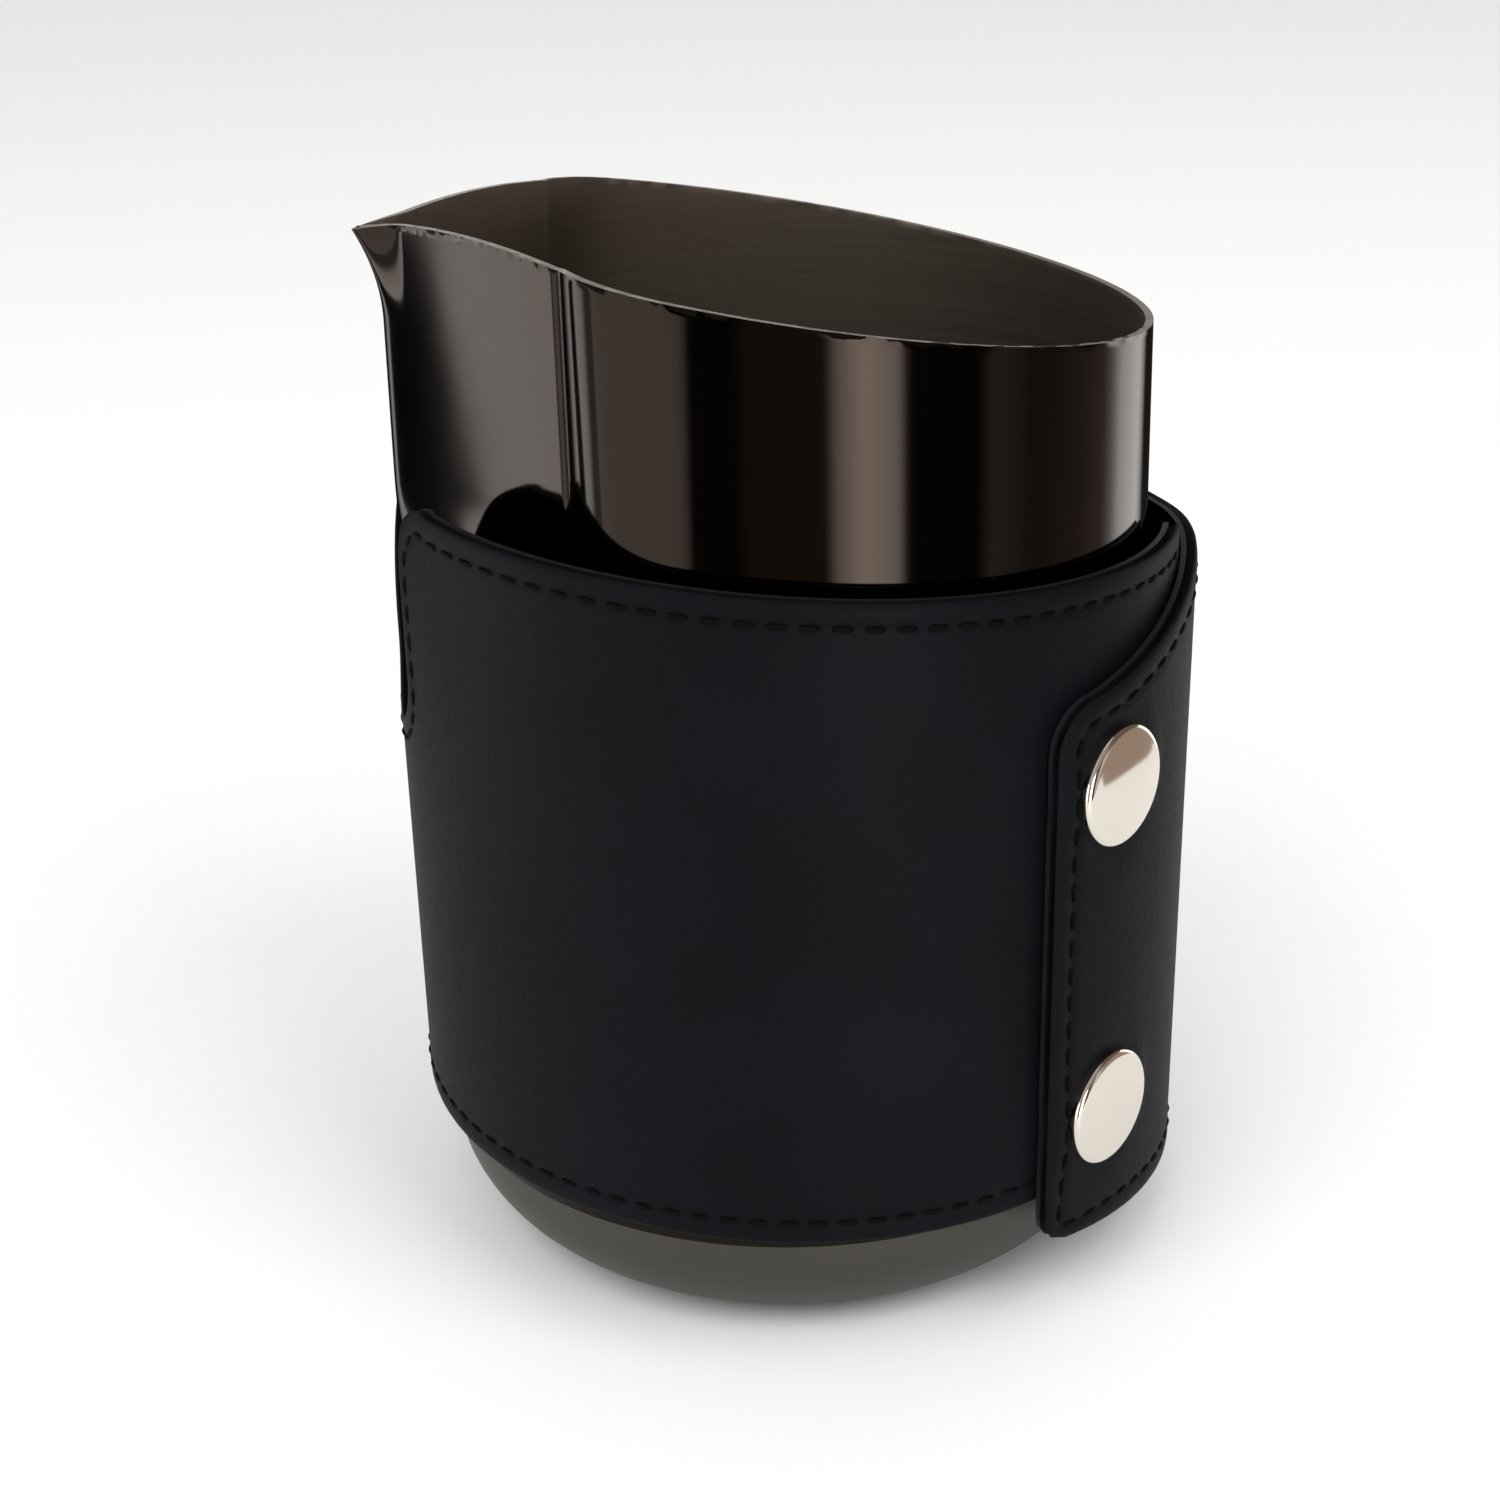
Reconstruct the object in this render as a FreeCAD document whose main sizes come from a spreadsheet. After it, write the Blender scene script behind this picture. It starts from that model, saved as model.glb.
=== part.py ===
import FreeCAD, Part
import math
import os

import Sketcher
from FreeCAD import Vector

# A handleless milk pitcher: a drawn steel cup with a pressed spout, in a leather sleeve
# that wraps round it and closes with two snap fasteners. Millimetres, +Z up, origin on the
# cup's axis at its resting face. The spout points along -X.

doc = FreeCAD.newDocument("milk_pitcher")
sheet = doc.addObject("Spreadsheet::Sheet", "sizes")

DRIVING_SIZES = [
    # steel cup
    ("rim_radius", 38.0),
    ("base_radius", 39.5),
    ("rim_height", 107.1),
    ("rim_slope", 0.176),
    ("steel_wall", 0.8),
    ("base_corner", 13.5),
    ("foot_inner_radius", 22.0),
    ("foot_recess", 0.8),
    # pressed spout
    ("press_bottom", 58.0),
    ("press_full", 86.0),
    ("keel_height", 2.2),
    ("crease_radius", 34.65),
    ("crease_angle", 47.8),
    ("press_angle", 68.0),
    ("beak_width", 7.2),
    ("tip_width", 1.6),
    ("flare_start", 102.0),
    ("flare_reach", 2.6),
    ("flare_above", 4.2),
    ("lip_length", 17.0),
    ("lip_radius", 43.0),
    # leather strip
    ("sleeve_play", 0.45),
    ("lining_thick", 0.6),
    ("leather_thick", 1.1),
    ("lap_gap", 0.25),
    ("front_top", 83.3),
    ("front_top_slope", 0.084),
    ("front_bottom", 15.4),
    ("front_bottom_slope", 0.03),
    ("back_top", 82.3),
    ("back_top_slope", 0.103),
    ("back_bottom", 11.6),
    ("back_bottom_slope", 0.121),
    ("notch_angle", 185.0),
    ("notch_width", 13.0),
    ("notch_bottom", 61.0),
    ("notch_corner", 8.5),
    ("notch_far_corner", 19.0),
    # overlap, flap and bend line, as angles about the axis
    ("underlap_end", -18.0),
    ("joggle_start", 14.0),
    ("joggle_end", -12.0),
    ("bend_angle", -22.0),
    ("bend_gap", 0.06),
    ("flap_end", -60.3),
    ("flap_shoulder", 70.0),
    ("flap_rise_start", -2.0),
    ("flap_corner", 5.5),
    ("flap_foot", 11.2),
    ("flap_foot_corner", 3.0),
    # thread
    ("stitch_inset", 2.4),
    ("end_stitch_inset", 1.9),
    ("bend_clear", 2.0),
    ("thread_width", 0.6),
    ("thread_proud", 0.15),
    # snap fasteners
    ("snap_angle", -48.5),
    ("upper_snap", 59.8),
    ("lower_snap", 23.5),
    ("cap_radius", 6.25),
    ("cap_height", 1.65),
    ("cap_edge", 0.7),
    ("cap_sheet", 0.4),
    ("cap_crown", 0.15),
    ("cap_seat", 0.25),
    ("rivet_radius", 1.2),
    ("rivet_flare", 1.7),
    ("cavity_clearance", 0.6),
    ("groove_depth", 0.4),
    ("groove_wall", 0.4),
    ("flange_width", 0.4),
    ("socket_sheet", 0.4),
    ("socket_height", 1.45),
    ("groove_height", 0.45),
    ("spring_wire", 0.4),
    ("stud_base", 4.6),
    ("stud_head", 3.0),
    ("stud_undercut", 0.2),
    ("stud_neck_wall", 0.5),
    ("stud_height", 1.7),
    ("stud_sheet", 0.45),
    ("stud_lead", 0.15),
    ("stud_neck_height", 0.65),
    ("eyelet_flange", 4.0),
    ("eyelet_sheet", 0.4),
    ("eyelet_radius", 1.6),
    ("eyelet_roll", 2.1),
    ("eyelet_bore", 1.1),
    ("eyelet_seat", 0.2),
    ("roll_height", 0.3),
    ("flare_height", 0.25),
    ("hole_clearance", 0.05),
    ("stud_clearance", 0.6),
]

# the snap's socket follows its stud
DERIVED_SIZES = [
    ("stud_neck", "=stud_head - stud_undercut"),
    ("stud_bore", "=stud_head - stud_undercut - stud_neck_wall"),
    ("socket_cavity", "=stud_head + cavity_clearance"),
    ("spring_groove", "=stud_head + cavity_clearance + groove_depth"),
    ("socket_body", "=stud_head + cavity_clearance + groove_depth + groove_wall"),
    ("socket_flange", "=stud_head + cavity_clearance + groove_depth + groove_wall + flange_width"),
]

for row, (alias, value) in enumerate(DRIVING_SIZES + DERIVED_SIZES, start=1):
    sheet.set("A%d" % row, alias)
    sheet.set("B%d" % row, str(value))
    sheet.setAlias("B%d" % row, alias)
doc.recompute()


def size(alias):
    return float(sheet.get(alias))


TALL = 200.0  # reach of cutting tools past the whole pitcher
SPOUT_MARGIN = 9.0  # the spout is drawn this far past the rim's height, then cut
CLOSE = 0.01  # lengths and angles nearer than this count as the same
TIP_SHOULDER = 0.4  # how far the tip's round runs back, as a share of half its width
TIP_BULGE = 0.125  # how far it stands out beyond straight lines, as a share of its width
sub_parts = []


def keep(feature, name):
    feature.Label = name
    sub_parts.append(feature)
    return feature


def shape_feature(name, shape):
    feature = doc.addObject("Part::Feature", name)
    feature.Shape = shape
    return feature


def polar(radius, degrees, height=0.0):
    angle = math.radians(degrees)
    return Vector(radius * math.cos(angle), radius * math.sin(angle), height)


def smooth_step(value):
    value = min(max(value, 0.0), 1.0)
    return value * value * (3.0 - 2.0 * value)


# ---- sketches whose corners are all bound to the sheet ----

def origin_plane(body, role):
    for feature in body.Origin.OriginFeatures:
        if feature.Role == role:
            return feature
    raise ValueError(role)


def corner_sketch(body, name, corners):
    """Closed outline in the body's XZ plane; every corner is bound to two expressions."""
    sketch = body.newObject("Sketcher::SketchObject", name)
    sketch.AttachmentSupport = [(origin_plane(body, "XZ_Plane"), "")]
    sketch.MapMode = "FlatFace"
    places = []
    for across, up in corners:
        places.append(Vector(body.evalExpression(across), body.evalExpression(up), 0))
    count = len(places)
    for index in range(count):
        sketch.addGeometry(Part.LineSegment(places[index], places[(index + 1) % count]), False)
    for index in range(count):
        sketch.addConstraint(Sketcher.Constraint("Coincident", index, 2, (index + 1) % count, 1))
    for index, (across, up) in enumerate(corners):
        bind_corner(sketch, index, "X", across, places[index].x, -2)
        bind_corner(sketch, index, "Y", up, places[index].y, -1)
    return sketch


def bind_corner(sketch, index, direction, expression, value, zero_axis):
    if expression == "0":
        sketch.addConstraint(Sketcher.Constraint("PointOnObject", index, 1, zero_axis))
        return
    kind = "Distance" + direction
    number = sketch.addConstraint(Sketcher.Constraint(kind, -1, 1, index, 1, value))
    sketch.setExpression("Constraints[%d]" % number, expression)


def turned_body(name, corners):
    """A PartDesign body turned about its own Z axis."""
    body = doc.addObject("PartDesign::Body", name)
    sketch = corner_sketch(body, name + "_outline", corners)
    doc.recompute()
    turn = body.newObject("PartDesign::Revolution", name + "_turn")
    turn.Profile = sketch
    turn.ReferenceAxis = (sketch, ["V_Axis"])
    turn.Angle = 360.0
    sketch.Visibility = False
    doc.recompute()
    return body


# ---- radii of the sleeve's layers, as expressions and as numbers ----

INNER_FACE = "(sizes.base_radius + sizes.sleeve_play)"
LAP_FACE = "(%s + sizes.lining_thick + sizes.leather_thick)" % INNER_FACE
FLAP_FACE = "(%s + sizes.lap_gap)" % LAP_FACE
FLAP_OUTER = "(%s + sizes.lining_thick + sizes.leather_thick)" % FLAP_FACE

strip_thick = size("lining_thick") + size("leather_thick")
inner_face = size("base_radius") + size("sleeve_play")
lap_face = inner_face + strip_thick
flap_face = lap_face + size("lap_gap")
flap_outer = flap_face + strip_thick


# ---- steel cup ----

def cone_radius(height):
    taper = (size("base_radius") - size("rim_radius")) / size("rim_height")
    return size("base_radius") - taper * height


def drawn_cup():
    """The lower, plain part of the cup, up to where the spout's pressing begins."""
    top_radius = "(sizes.base_radius - (sizes.base_radius - sizes.rim_radius)"
    top_radius += " * sizes.press_bottom / sizes.rim_height)"
    recess_edge = "sizes.foot_inner_radius - 2 * sizes.foot_recess"
    corners = [
        ("0", "sizes.foot_recess"),
        (recess_edge, "sizes.foot_recess"),
        ("sizes.foot_inner_radius", "0"),
        ("sizes.base_radius", "0"),
        (top_radius, "sizes.press_bottom"),
        (top_radius + " - sizes.steel_wall", "sizes.press_bottom"),
        ("sizes.base_radius - sizes.steel_wall", "sizes.steel_wall"),
        ("sizes.foot_inner_radius", "sizes.steel_wall"),
        (recess_edge, "sizes.foot_recess + sizes.steel_wall"),
        ("0", "sizes.foot_recess + sizes.steel_wall"),
    ]
    body = turned_body("drawn_cup", corners)
    for edge_radius, edge_height, expression in (
        (size("base_radius"), 0.0, "sizes.base_corner"),
        (size("base_radius") - size("steel_wall"), size("steel_wall"),
         "sizes.base_corner - sizes.steel_wall"),
    ):
        names = circle_edges(body.Shape, edge_radius, edge_height)
        sharp = body.Tip
        fillet = body.newObject("PartDesign::Fillet", "base_fillet")
        fillet.Base = (sharp, names)
        fillet.Radius = body.evalExpression(expression)
        fillet.setExpression("Radius", expression)
        doc.recompute()
        body.Tip = fillet
    doc.recompute()
    return body


def circle_edges(shape, radius, height):
    names = []
    for number, edge in enumerate(shape.Edges, start=1):
        curve = edge.Curve
        if isinstance(curve, Part.Circle):
            same_radius = abs(curve.Radius - radius) < CLOSE
            same_height = abs(curve.Center.z - height) < CLOSE
            if same_radius and same_height:
                names.append("Edge%d" % number)
    return names


def press_depth(height):
    span = size("press_full") - size("press_bottom")
    return smooth_step((height - size("press_bottom")) / span)


def spout_corners(height):
    """Corners of half the spout's plan outline at a height, from its tip to the round wall."""
    radius = cone_radius(height)
    depth = press_depth(height)
    crease_radius = radius + depth * (size("crease_radius") - radius)
    crease = polar(crease_radius, 180.0 - size("crease_angle"), height)
    keel = radius + depth * size("keel_height")
    flare_span = size("rim_height") + size("flare_above") - size("flare_start")
    flare = max(height - size("flare_start"), 0.0) / flare_span
    tip = keel + size("flare_reach") * flare ** 2
    half_beak = size("beak_width") / 2.0
    half_tip = size("tip_width") / 2.0
    lean = (keel + crease.x) / crease.y
    straight_beak = -keel + lean * half_beak
    round_beak = -math.sqrt(radius ** 2 - half_beak ** 2)
    beak = Vector(round_beak + depth * (straight_beak - round_beak), half_beak, height)
    round_tip = -math.sqrt(radius ** 2 - half_tip ** 2)
    shoulder_x = round_tip + depth * (-tip + TIP_SHOULDER * half_tip - round_tip)
    shoulder = Vector(shoulder_x, half_tip, height)
    end = polar(radius, 180.0 - size("press_angle"), height)
    return Vector(-tip, 0, height), shoulder, beak, crease, end, depth, radius


def bowed(first, last, depth, radius, steps):
    """Points between two corners: on the round wall where nothing is pressed, straight where it is."""
    points = []
    for step in range(steps + 1):
        share = step / steps
        straight = first + (last - first) * share
        plan = math.hypot(straight.x, straight.y)
        around = Vector(straight.x * radius / plan, straight.y * radius / plan, straight.z)
        points.append(around + (straight - around) * depth)
    points[0] = first
    points[-1] = last
    return points


def half_outline(height):
    """Runs of points for half the outline, one run for each edge of the section."""
    tip, shoulder, beak, crease, end, depth, radius = spout_corners(height)
    nose = bowed(tip, shoulder, depth, radius, 2)
    nose[1].x -= TIP_BULGE * size("tip_width") * depth
    side = bowed(shoulder, beak, depth, radius, 4)
    flank = bowed(beak, crease, depth, radius, 6)
    blend = []
    start_angle = 180.0 - size("crease_angle")
    turn = size("press_angle") - size("crease_angle")
    crease_radius = math.hypot(crease.x, crease.y)
    for step in range(7):
        share = step / 6.0
        reach = radius + (crease_radius - radius) * (1.0 - share) ** 2
        blend.append(polar(reach, start_angle - turn * share, height))
    return [nose, side, flank, blend]


def inset_run(run, inset):
    """A run moved inwards, towards the cup's inside."""
    moved = []
    for index, point in enumerate(run):
        before = run[max(index - 1, 0)]
        after = run[min(index + 1, len(run) - 1)]
        along = after - before
        along.normalize()
        moved.append(point + Vector(along.y, -along.x, 0) * inset)
    return moved


def section_wire(height, inset):
    """The spout's plan outline at a height: exact arcs where nothing is pressed yet."""
    runs = half_outline(height)
    pressed = press_depth(height) > 0.0
    if inset and pressed:
        runs = [inset_run(run, inset) for run in runs]
        runs[0][0] = Vector(runs[0][0].x, 0, height)
        for first, second in zip(runs, runs[1:]):
            joint = (first[-1] + second[0]) * 0.5
            first[-1] = joint
            second[0] = joint
    elif inset:
        share = 1.0 - inset / cone_radius(height)
        runs = [[Vector(point.x * share, point.y * share, height) for point in run] for run in runs]
    near_runs = []
    for run in reversed(runs):
        near_runs.append([Vector(point.x, -point.y, point.z) for point in reversed(run)])
    edges = []
    for run in near_runs + runs:
        if pressed:
            curve = Part.BSplineCurve()
            curve.interpolate(run)
        else:
            curve = Part.Arc(run[0], run[len(run) // 2], run[-1])
        edges.append(curve.toShape())
    first = runs[-1][-1]
    last = near_runs[0][0]
    back = Vector(math.hypot(first.x, first.y), 0, height)
    edges.append(Part.Arc(first, back, last).toShape())
    return Part.Wire(edges)


def rim_height_at(across):
    return size("rim_height") - size("rim_slope") * across


def rim_tool():
    """Everything above the rim: a straight slope that rounds over along the spout's lip."""
    lip_x = -(size("rim_radius") + size("keel_height") + size("flare_reach"))
    start_x = lip_x + size("lip_length")
    tip_x = lip_x - size("lip_length") / 2
    back_x = 1.5 * size("rim_radius")
    back = Vector(back_x, -TALL / 2, rim_height_at(back_x))
    start = Vector(start_x, -TALL / 2, rim_height_at(start_x))

    def lip_point(across):
        run = start_x - across
        drop = size("lip_radius") - math.sqrt(size("lip_radius") ** 2 - run ** 2)
        return Vector(across, -TALL / 2, rim_height_at(across) - drop)

    middle = lip_point((start_x + tip_x) / 2)
    end = lip_point(tip_x)
    above_tip = Vector(tip_x, -TALL / 2, TALL)
    above_back = Vector(back.x, -TALL / 2, TALL)
    edges = [
        Part.LineSegment(back, start).toShape(),
        Part.Arc(start, middle, end).toShape(),
        Part.LineSegment(end, above_tip).toShape(),
        Part.LineSegment(above_tip, above_back).toShape(),
        Part.LineSegment(above_back, back).toShape(),
    ]
    return Part.Face(Part.Wire(edges)).extrude(Vector(0, TALL, 0))


def spout_shell():
    """The pressed upper part of the cup, hollow and cut to the rim's slope."""
    bottom = size("press_bottom")
    full = size("press_full")
    flare = size("flare_start")
    top = size("rim_height") + SPOUT_MARGIN
    heights = [bottom + (full - bottom) * step / 6.0 for step in range(7)]
    heights += [flare + (top - flare) * step / 4.0 for step in range(5)]
    skins = []
    for inset in (0.0, size("steel_wall")):
        wires = [section_wire(height, inset) for height in heights]
        skins.append(Part.makeLoft(wires, True, True))
    return skins[0].cut(skins[1]).cut(rim_tool())


cup_body = drawn_cup()
spout = shape_feature("spout_shell", spout_shell())
pitcher = doc.addObject("Part::Fuse", "pitcher_body")
pitcher.Base = cup_body
pitcher.Tool = spout
keep(pitcher, "pitcher_body")


# ---- leather strip ----

FULL_TURN = 360.0


def lap_step(unwrapped):
    """How far the strip has climbed on to its own hidden end."""
    start = size("joggle_start") - FULL_TURN
    end = size("joggle_end") - FULL_TURN
    share = (start - unwrapped) / (start - end)
    return (strip_thick + size("lap_gap")) * smooth_step(share)


def strip_curve(radius, start, end):
    """Edges along the strip at a radius that steps out over the hidden end."""
    joggle_start = size("joggle_start") - FULL_TURN
    joggle_end = size("joggle_end") - FULL_TURN
    stops = [start]
    for stop in (joggle_start, joggle_end):
        if end < stop < start:
            stops.append(stop)
    stops.append(end)
    edges = []
    for first, last in zip(stops, stops[1:]):
        if joggle_end - CLOSE <= last and first <= joggle_start + CLOSE and first > joggle_end:
            angles = [first + (last - first) * step / 8.0 for step in range(9)]
            curve = Part.BSplineCurve()
            curve.interpolate([polar(radius + lap_step(angle), angle) for angle in angles])
            edges.append(curve.toShape())
        else:
            middle = (first + last) / 2.0
            reach = radius + lap_step(middle)
            edges.append(Part.Arc(polar(reach, first), polar(reach, middle), polar(reach, last)).toShape())
    return edges


def strip_solid(offset, thick, start, end):
    """A layer of the strip between two unwrapped angles, taller than the sleeve."""
    inner = strip_curve(inner_face + offset, start, end)
    outer = strip_curve(inner_face + offset + thick, start, end)
    edges = list(inner)
    edges.append(Part.LineSegment(inner[-1].valueAt(inner[-1].LastParameter),
                                  outer[-1].valueAt(outer[-1].LastParameter)).toShape())
    edges += list(outer)
    edges.append(Part.LineSegment(outer[0].valueAt(outer[0].FirstParameter),
                                  inner[0].valueAt(inner[0].FirstParameter)).toShape())
    wire = Part.Wire(Part.__sortEdges__(edges))
    return Part.Face(wire).extrude(Vector(0, 0, size("rim_height")))


def sloped_tool(height, slope, side):
    """Everything above (side 1) or below (side -1) a plane that falls along +X."""
    reach = TALL / 2
    points = [
        Vector(-reach, -reach, height + slope * reach),
        Vector(reach, -reach, height - slope * reach),
        Vector(reach, -reach, side * TALL),
        Vector(-reach, -reach, side * TALL),
    ]
    return Part.Face(Part.makePolygon(points + points[:1])).extrude(Vector(0, TALL, 0))


def radial_tool(mid_angle, edges):
    """A prism through one side of the sleeve; edges are drawn as tangent, height."""
    turn = FreeCAD.Placement(polar(inner_face / 2, mid_angle), frame_at(mid_angle))
    face = Part.Face(Part.Wire(edges))
    solid = face.extrude(Vector(0, 0, inner_face))
    solid.Placement = turn
    return solid


def frame_at(angle):
    """Local X along the wall, local Y up, local Z straight out from the axis."""
    return FreeCAD.Rotation(polar(1.0, angle + 90.0), Vector(0, 0, 1), polar(1.0, angle), "XYZ")


def line(first, last):
    return Part.LineSegment(Vector(first[0], first[1], 0), Vector(last[0], last[1], 0)).toShape()


def arc(first, middle, last):
    return Part.Arc(Vector(first[0], first[1], 0), Vector(middle[0], middle[1], 0),
                    Vector(last[0], last[1], 0)).toShape()


def notch_tool():
    """The slot under the spout: round at the bottom, its top corners rounded over, the far one widely."""
    half = size("notch_width") / 2.0
    near = size("notch_corner")
    far = size("notch_far_corner")
    top = size("front_top") + size("front_top_slope") * inner_face
    low_centre = size("notch_bottom") + half
    short = 1.0 - math.sqrt(0.5)
    edges = [
        arc((-half, low_centre), (0, low_centre - half), (half, low_centre)),
        line((half, low_centre), (half, top - near)),
        arc((half, top - near), (half + near * short, top - near * short), (half + near, top)),
        line((half + near, top), (half + near, TALL)),
        line((half + near, TALL), (-half - far, TALL)),
        line((-half - far, TALL), (-half - far, top)),
        arc((-half - far, top), (-half - far * short, top - far * short), (-half, top - far)),
        line((-half, top - far), (-half, low_centre)),
    ]
    return radial_tool(size("notch_angle"), edges)


flap_middle = (size("flap_end") + size("flap_rise_start")) / 2.0


def flap_across(angle):
    return flap_outer * math.sin(math.radians(angle - flap_middle))


def back_edge(height, slope, angle):
    return height - slope * flap_outer * math.cos(math.radians(angle))


def shoulder_tool():
    """Everything above the flap's top edge, which drops from the sleeve's top to a round corner."""
    end = flap_across(size("flap_end"))
    corner = size("flap_corner")
    shoulder = size("flap_shoulder")
    rise = (flap_across(size("flap_rise_start")),
            back_edge(size("back_top"), size("back_top_slope"), size("flap_rise_start")))
    diagonal = corner * (1.0 - math.sqrt(0.5))
    edges = [
        line((end - corner, shoulder - corner), (end, shoulder - corner)),
        arc((end, shoulder - corner), (end + diagonal, shoulder - diagonal), (end + corner, shoulder)),
        line((end + corner, shoulder), rise),
        line(rise, (rise[0], TALL)),
        line((rise[0], TALL), (end - corner, TALL)),
        line((end - corner, TALL), (end - corner, shoulder - corner)),
    ]
    return radial_tool(flap_middle, edges)


def foot_tool():
    """Everything below the flap's bottom edge."""
    end = flap_across(size("flap_end"))
    corner = size("flap_foot_corner")
    foot = size("flap_foot")
    bend = (flap_across(size("bend_angle")),
            back_edge(size("back_bottom"), size("back_bottom_slope"), size("bend_angle")))
    diagonal = corner * (1.0 - math.sqrt(0.5))
    edges = [
        line((end - corner, foot + corner), (end, foot + corner)),
        arc((end, foot + corner), (end + diagonal, foot + diagonal), (end + corner, foot)),
        line((end + corner, foot), bend),
        line(bend, (bend[0] + corner, bend[1])),
        line((bend[0] + corner, bend[1]), (bend[0] + corner, -TALL)),
        line((bend[0] + corner, -TALL), (end - corner, -TALL)),
        line((end - corner, -TALL), (end - corner, foot + corner)),
    ]
    return radial_tool(flap_middle, edges)


def snap_tool(height, radius, start, end):
    """A round cutter along a snap's axis, between two distances from the cup's axis."""
    angle = size("snap_angle")
    return Part.makeCylinder(radius, end - start, polar(start, angle, height), polar(1.0, angle))


snap_heights = (size("upper_snap"), size("lower_snap"))
front_end = -size("notch_angle")
bend_end = size("bend_angle") - FULL_TURN
flap_start = bend_end - math.degrees(size("bend_gap") / flap_face)
flap_tip = size("flap_end") - FULL_TURN


def front_part(offset, thick):
    solid = strip_solid(offset, thick, size("underlap_end"), front_end)
    solid = solid.cut(sloped_tool(size("front_top"), size("front_top_slope"), 1))
    return solid.cut(sloped_tool(size("front_bottom"), size("front_bottom_slope"), -1))


def back_part(offset, thick):
    solid = strip_solid(offset, thick, front_end, bend_end)
    solid = solid.cut(sloped_tool(size("back_top"), size("back_top_slope"), 1))
    solid = solid.cut(sloped_tool(size("back_bottom"), size("back_bottom_slope"), -1))
    overlap_side = strip_solid(offset, thick, size("joggle_start") - FULL_TURN, bend_end)
    cut_away = overlap_side.common(shoulder_tool())
    return solid.cut(cut_away)


def sleeve_layer(offset, thick):
    solid = front_part(offset, thick).fuse(back_part(offset, thick)).removeSplitter()
    solid = solid.cut(notch_tool())
    for height in snap_heights:
        hole = size("eyelet_radius") + size("hole_clearance")
        solid = solid.cut(snap_tool(height, hole, inner_face - strip_thick, lap_face + strip_thick))
        seat = inner_face - size("eyelet_seat") + size("eyelet_sheet")
        flange = size("eyelet_flange") + size("hole_clearance")
        solid = solid.cut(snap_tool(height, flange, inner_face - strip_thick, seat))
    return solid


def flap_layer(offset, thick):
    solid = strip_solid(offset, thick, flap_start, flap_tip)
    solid = solid.cut(shoulder_tool()).cut(foot_tool())
    clearance = size("hole_clearance")
    socket_face = flap_face + size("lining_thick")
    cap_seat = flap_outer - size("cap_seat")
    below = inner_face
    above = flap_outer + strip_thick
    for height in snap_heights:
        stud_room = size("stud_base") + size("stud_clearance")
        if offset < size("lining_thick"):
            solid = solid.cut(snap_tool(height, stud_room, below, above))
        flange = size("socket_flange") + clearance
        solid = solid.cut(snap_tool(height, flange, below, socket_face + size("socket_sheet")))
        solid = solid.cut(snap_tool(height, size("socket_body") + clearance, below, above))
        solid = solid.cut(snap_tool(height, size("cap_radius") + clearance, cap_seat, above))
    return solid


lining = size("lining_thick")
leather = size("leather_thick")
keep(shape_feature("sleeve_lining", sleeve_layer(0.0, lining)), "sleeve_lining")
keep(shape_feature("sleeve_leather", sleeve_layer(lining, leather)), "sleeve_leather")
keep(shape_feature("flap_lining", flap_layer(0.0, lining)), "flap_lining")
keep(shape_feature("flap_leather", flap_layer(lining, leather)), "flap_leather")


# ---- rows of thread, each a narrow band that lies on the leather ----

inset = size("stitch_inset")
thread = size("thread_width")
proud = size("thread_proud")
degree = math.radians(1.0) * lap_face  # length of one degree along the leather
bend_clear = size("bend_clear") / degree


def level_row(start, end, height, slope, side):
    """A row that follows the sleeve's top (side 1) or bottom (side -1) edge."""
    outer_line = height - side * inset
    inner_line = outer_line - side * thread
    row = strip_solid(strip_thick, proud, start, end)
    row = row.cut(sloped_tool(outer_line, slope, side))
    return row.cut(sloped_tool(inner_line, slope, -side))


def sleeve_rows():
    notch = size("notch_angle")
    notch_half = (size("notch_width") / 2 + size("notch_corner") + inset) / degree
    front_start = size("flap_end") - inset / degree
    front_stop = notch_half - notch
    back_start = -(notch + notch_half)
    rows = [
        level_row(front_start, front_stop, size("front_top"), size("front_top_slope"), 1),
        level_row(back_start, size("flap_rise_start") - FULL_TURN, size("back_top"),
                  size("back_top_slope"), 1),
        level_row(front_start, front_end, size("front_bottom"), size("front_bottom_slope"), -1),
        level_row(front_end, bend_end + bend_clear, size("back_bottom"), size("back_bottom_slope"), -1),
    ]
    return Part.makeCompound(rows)


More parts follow.
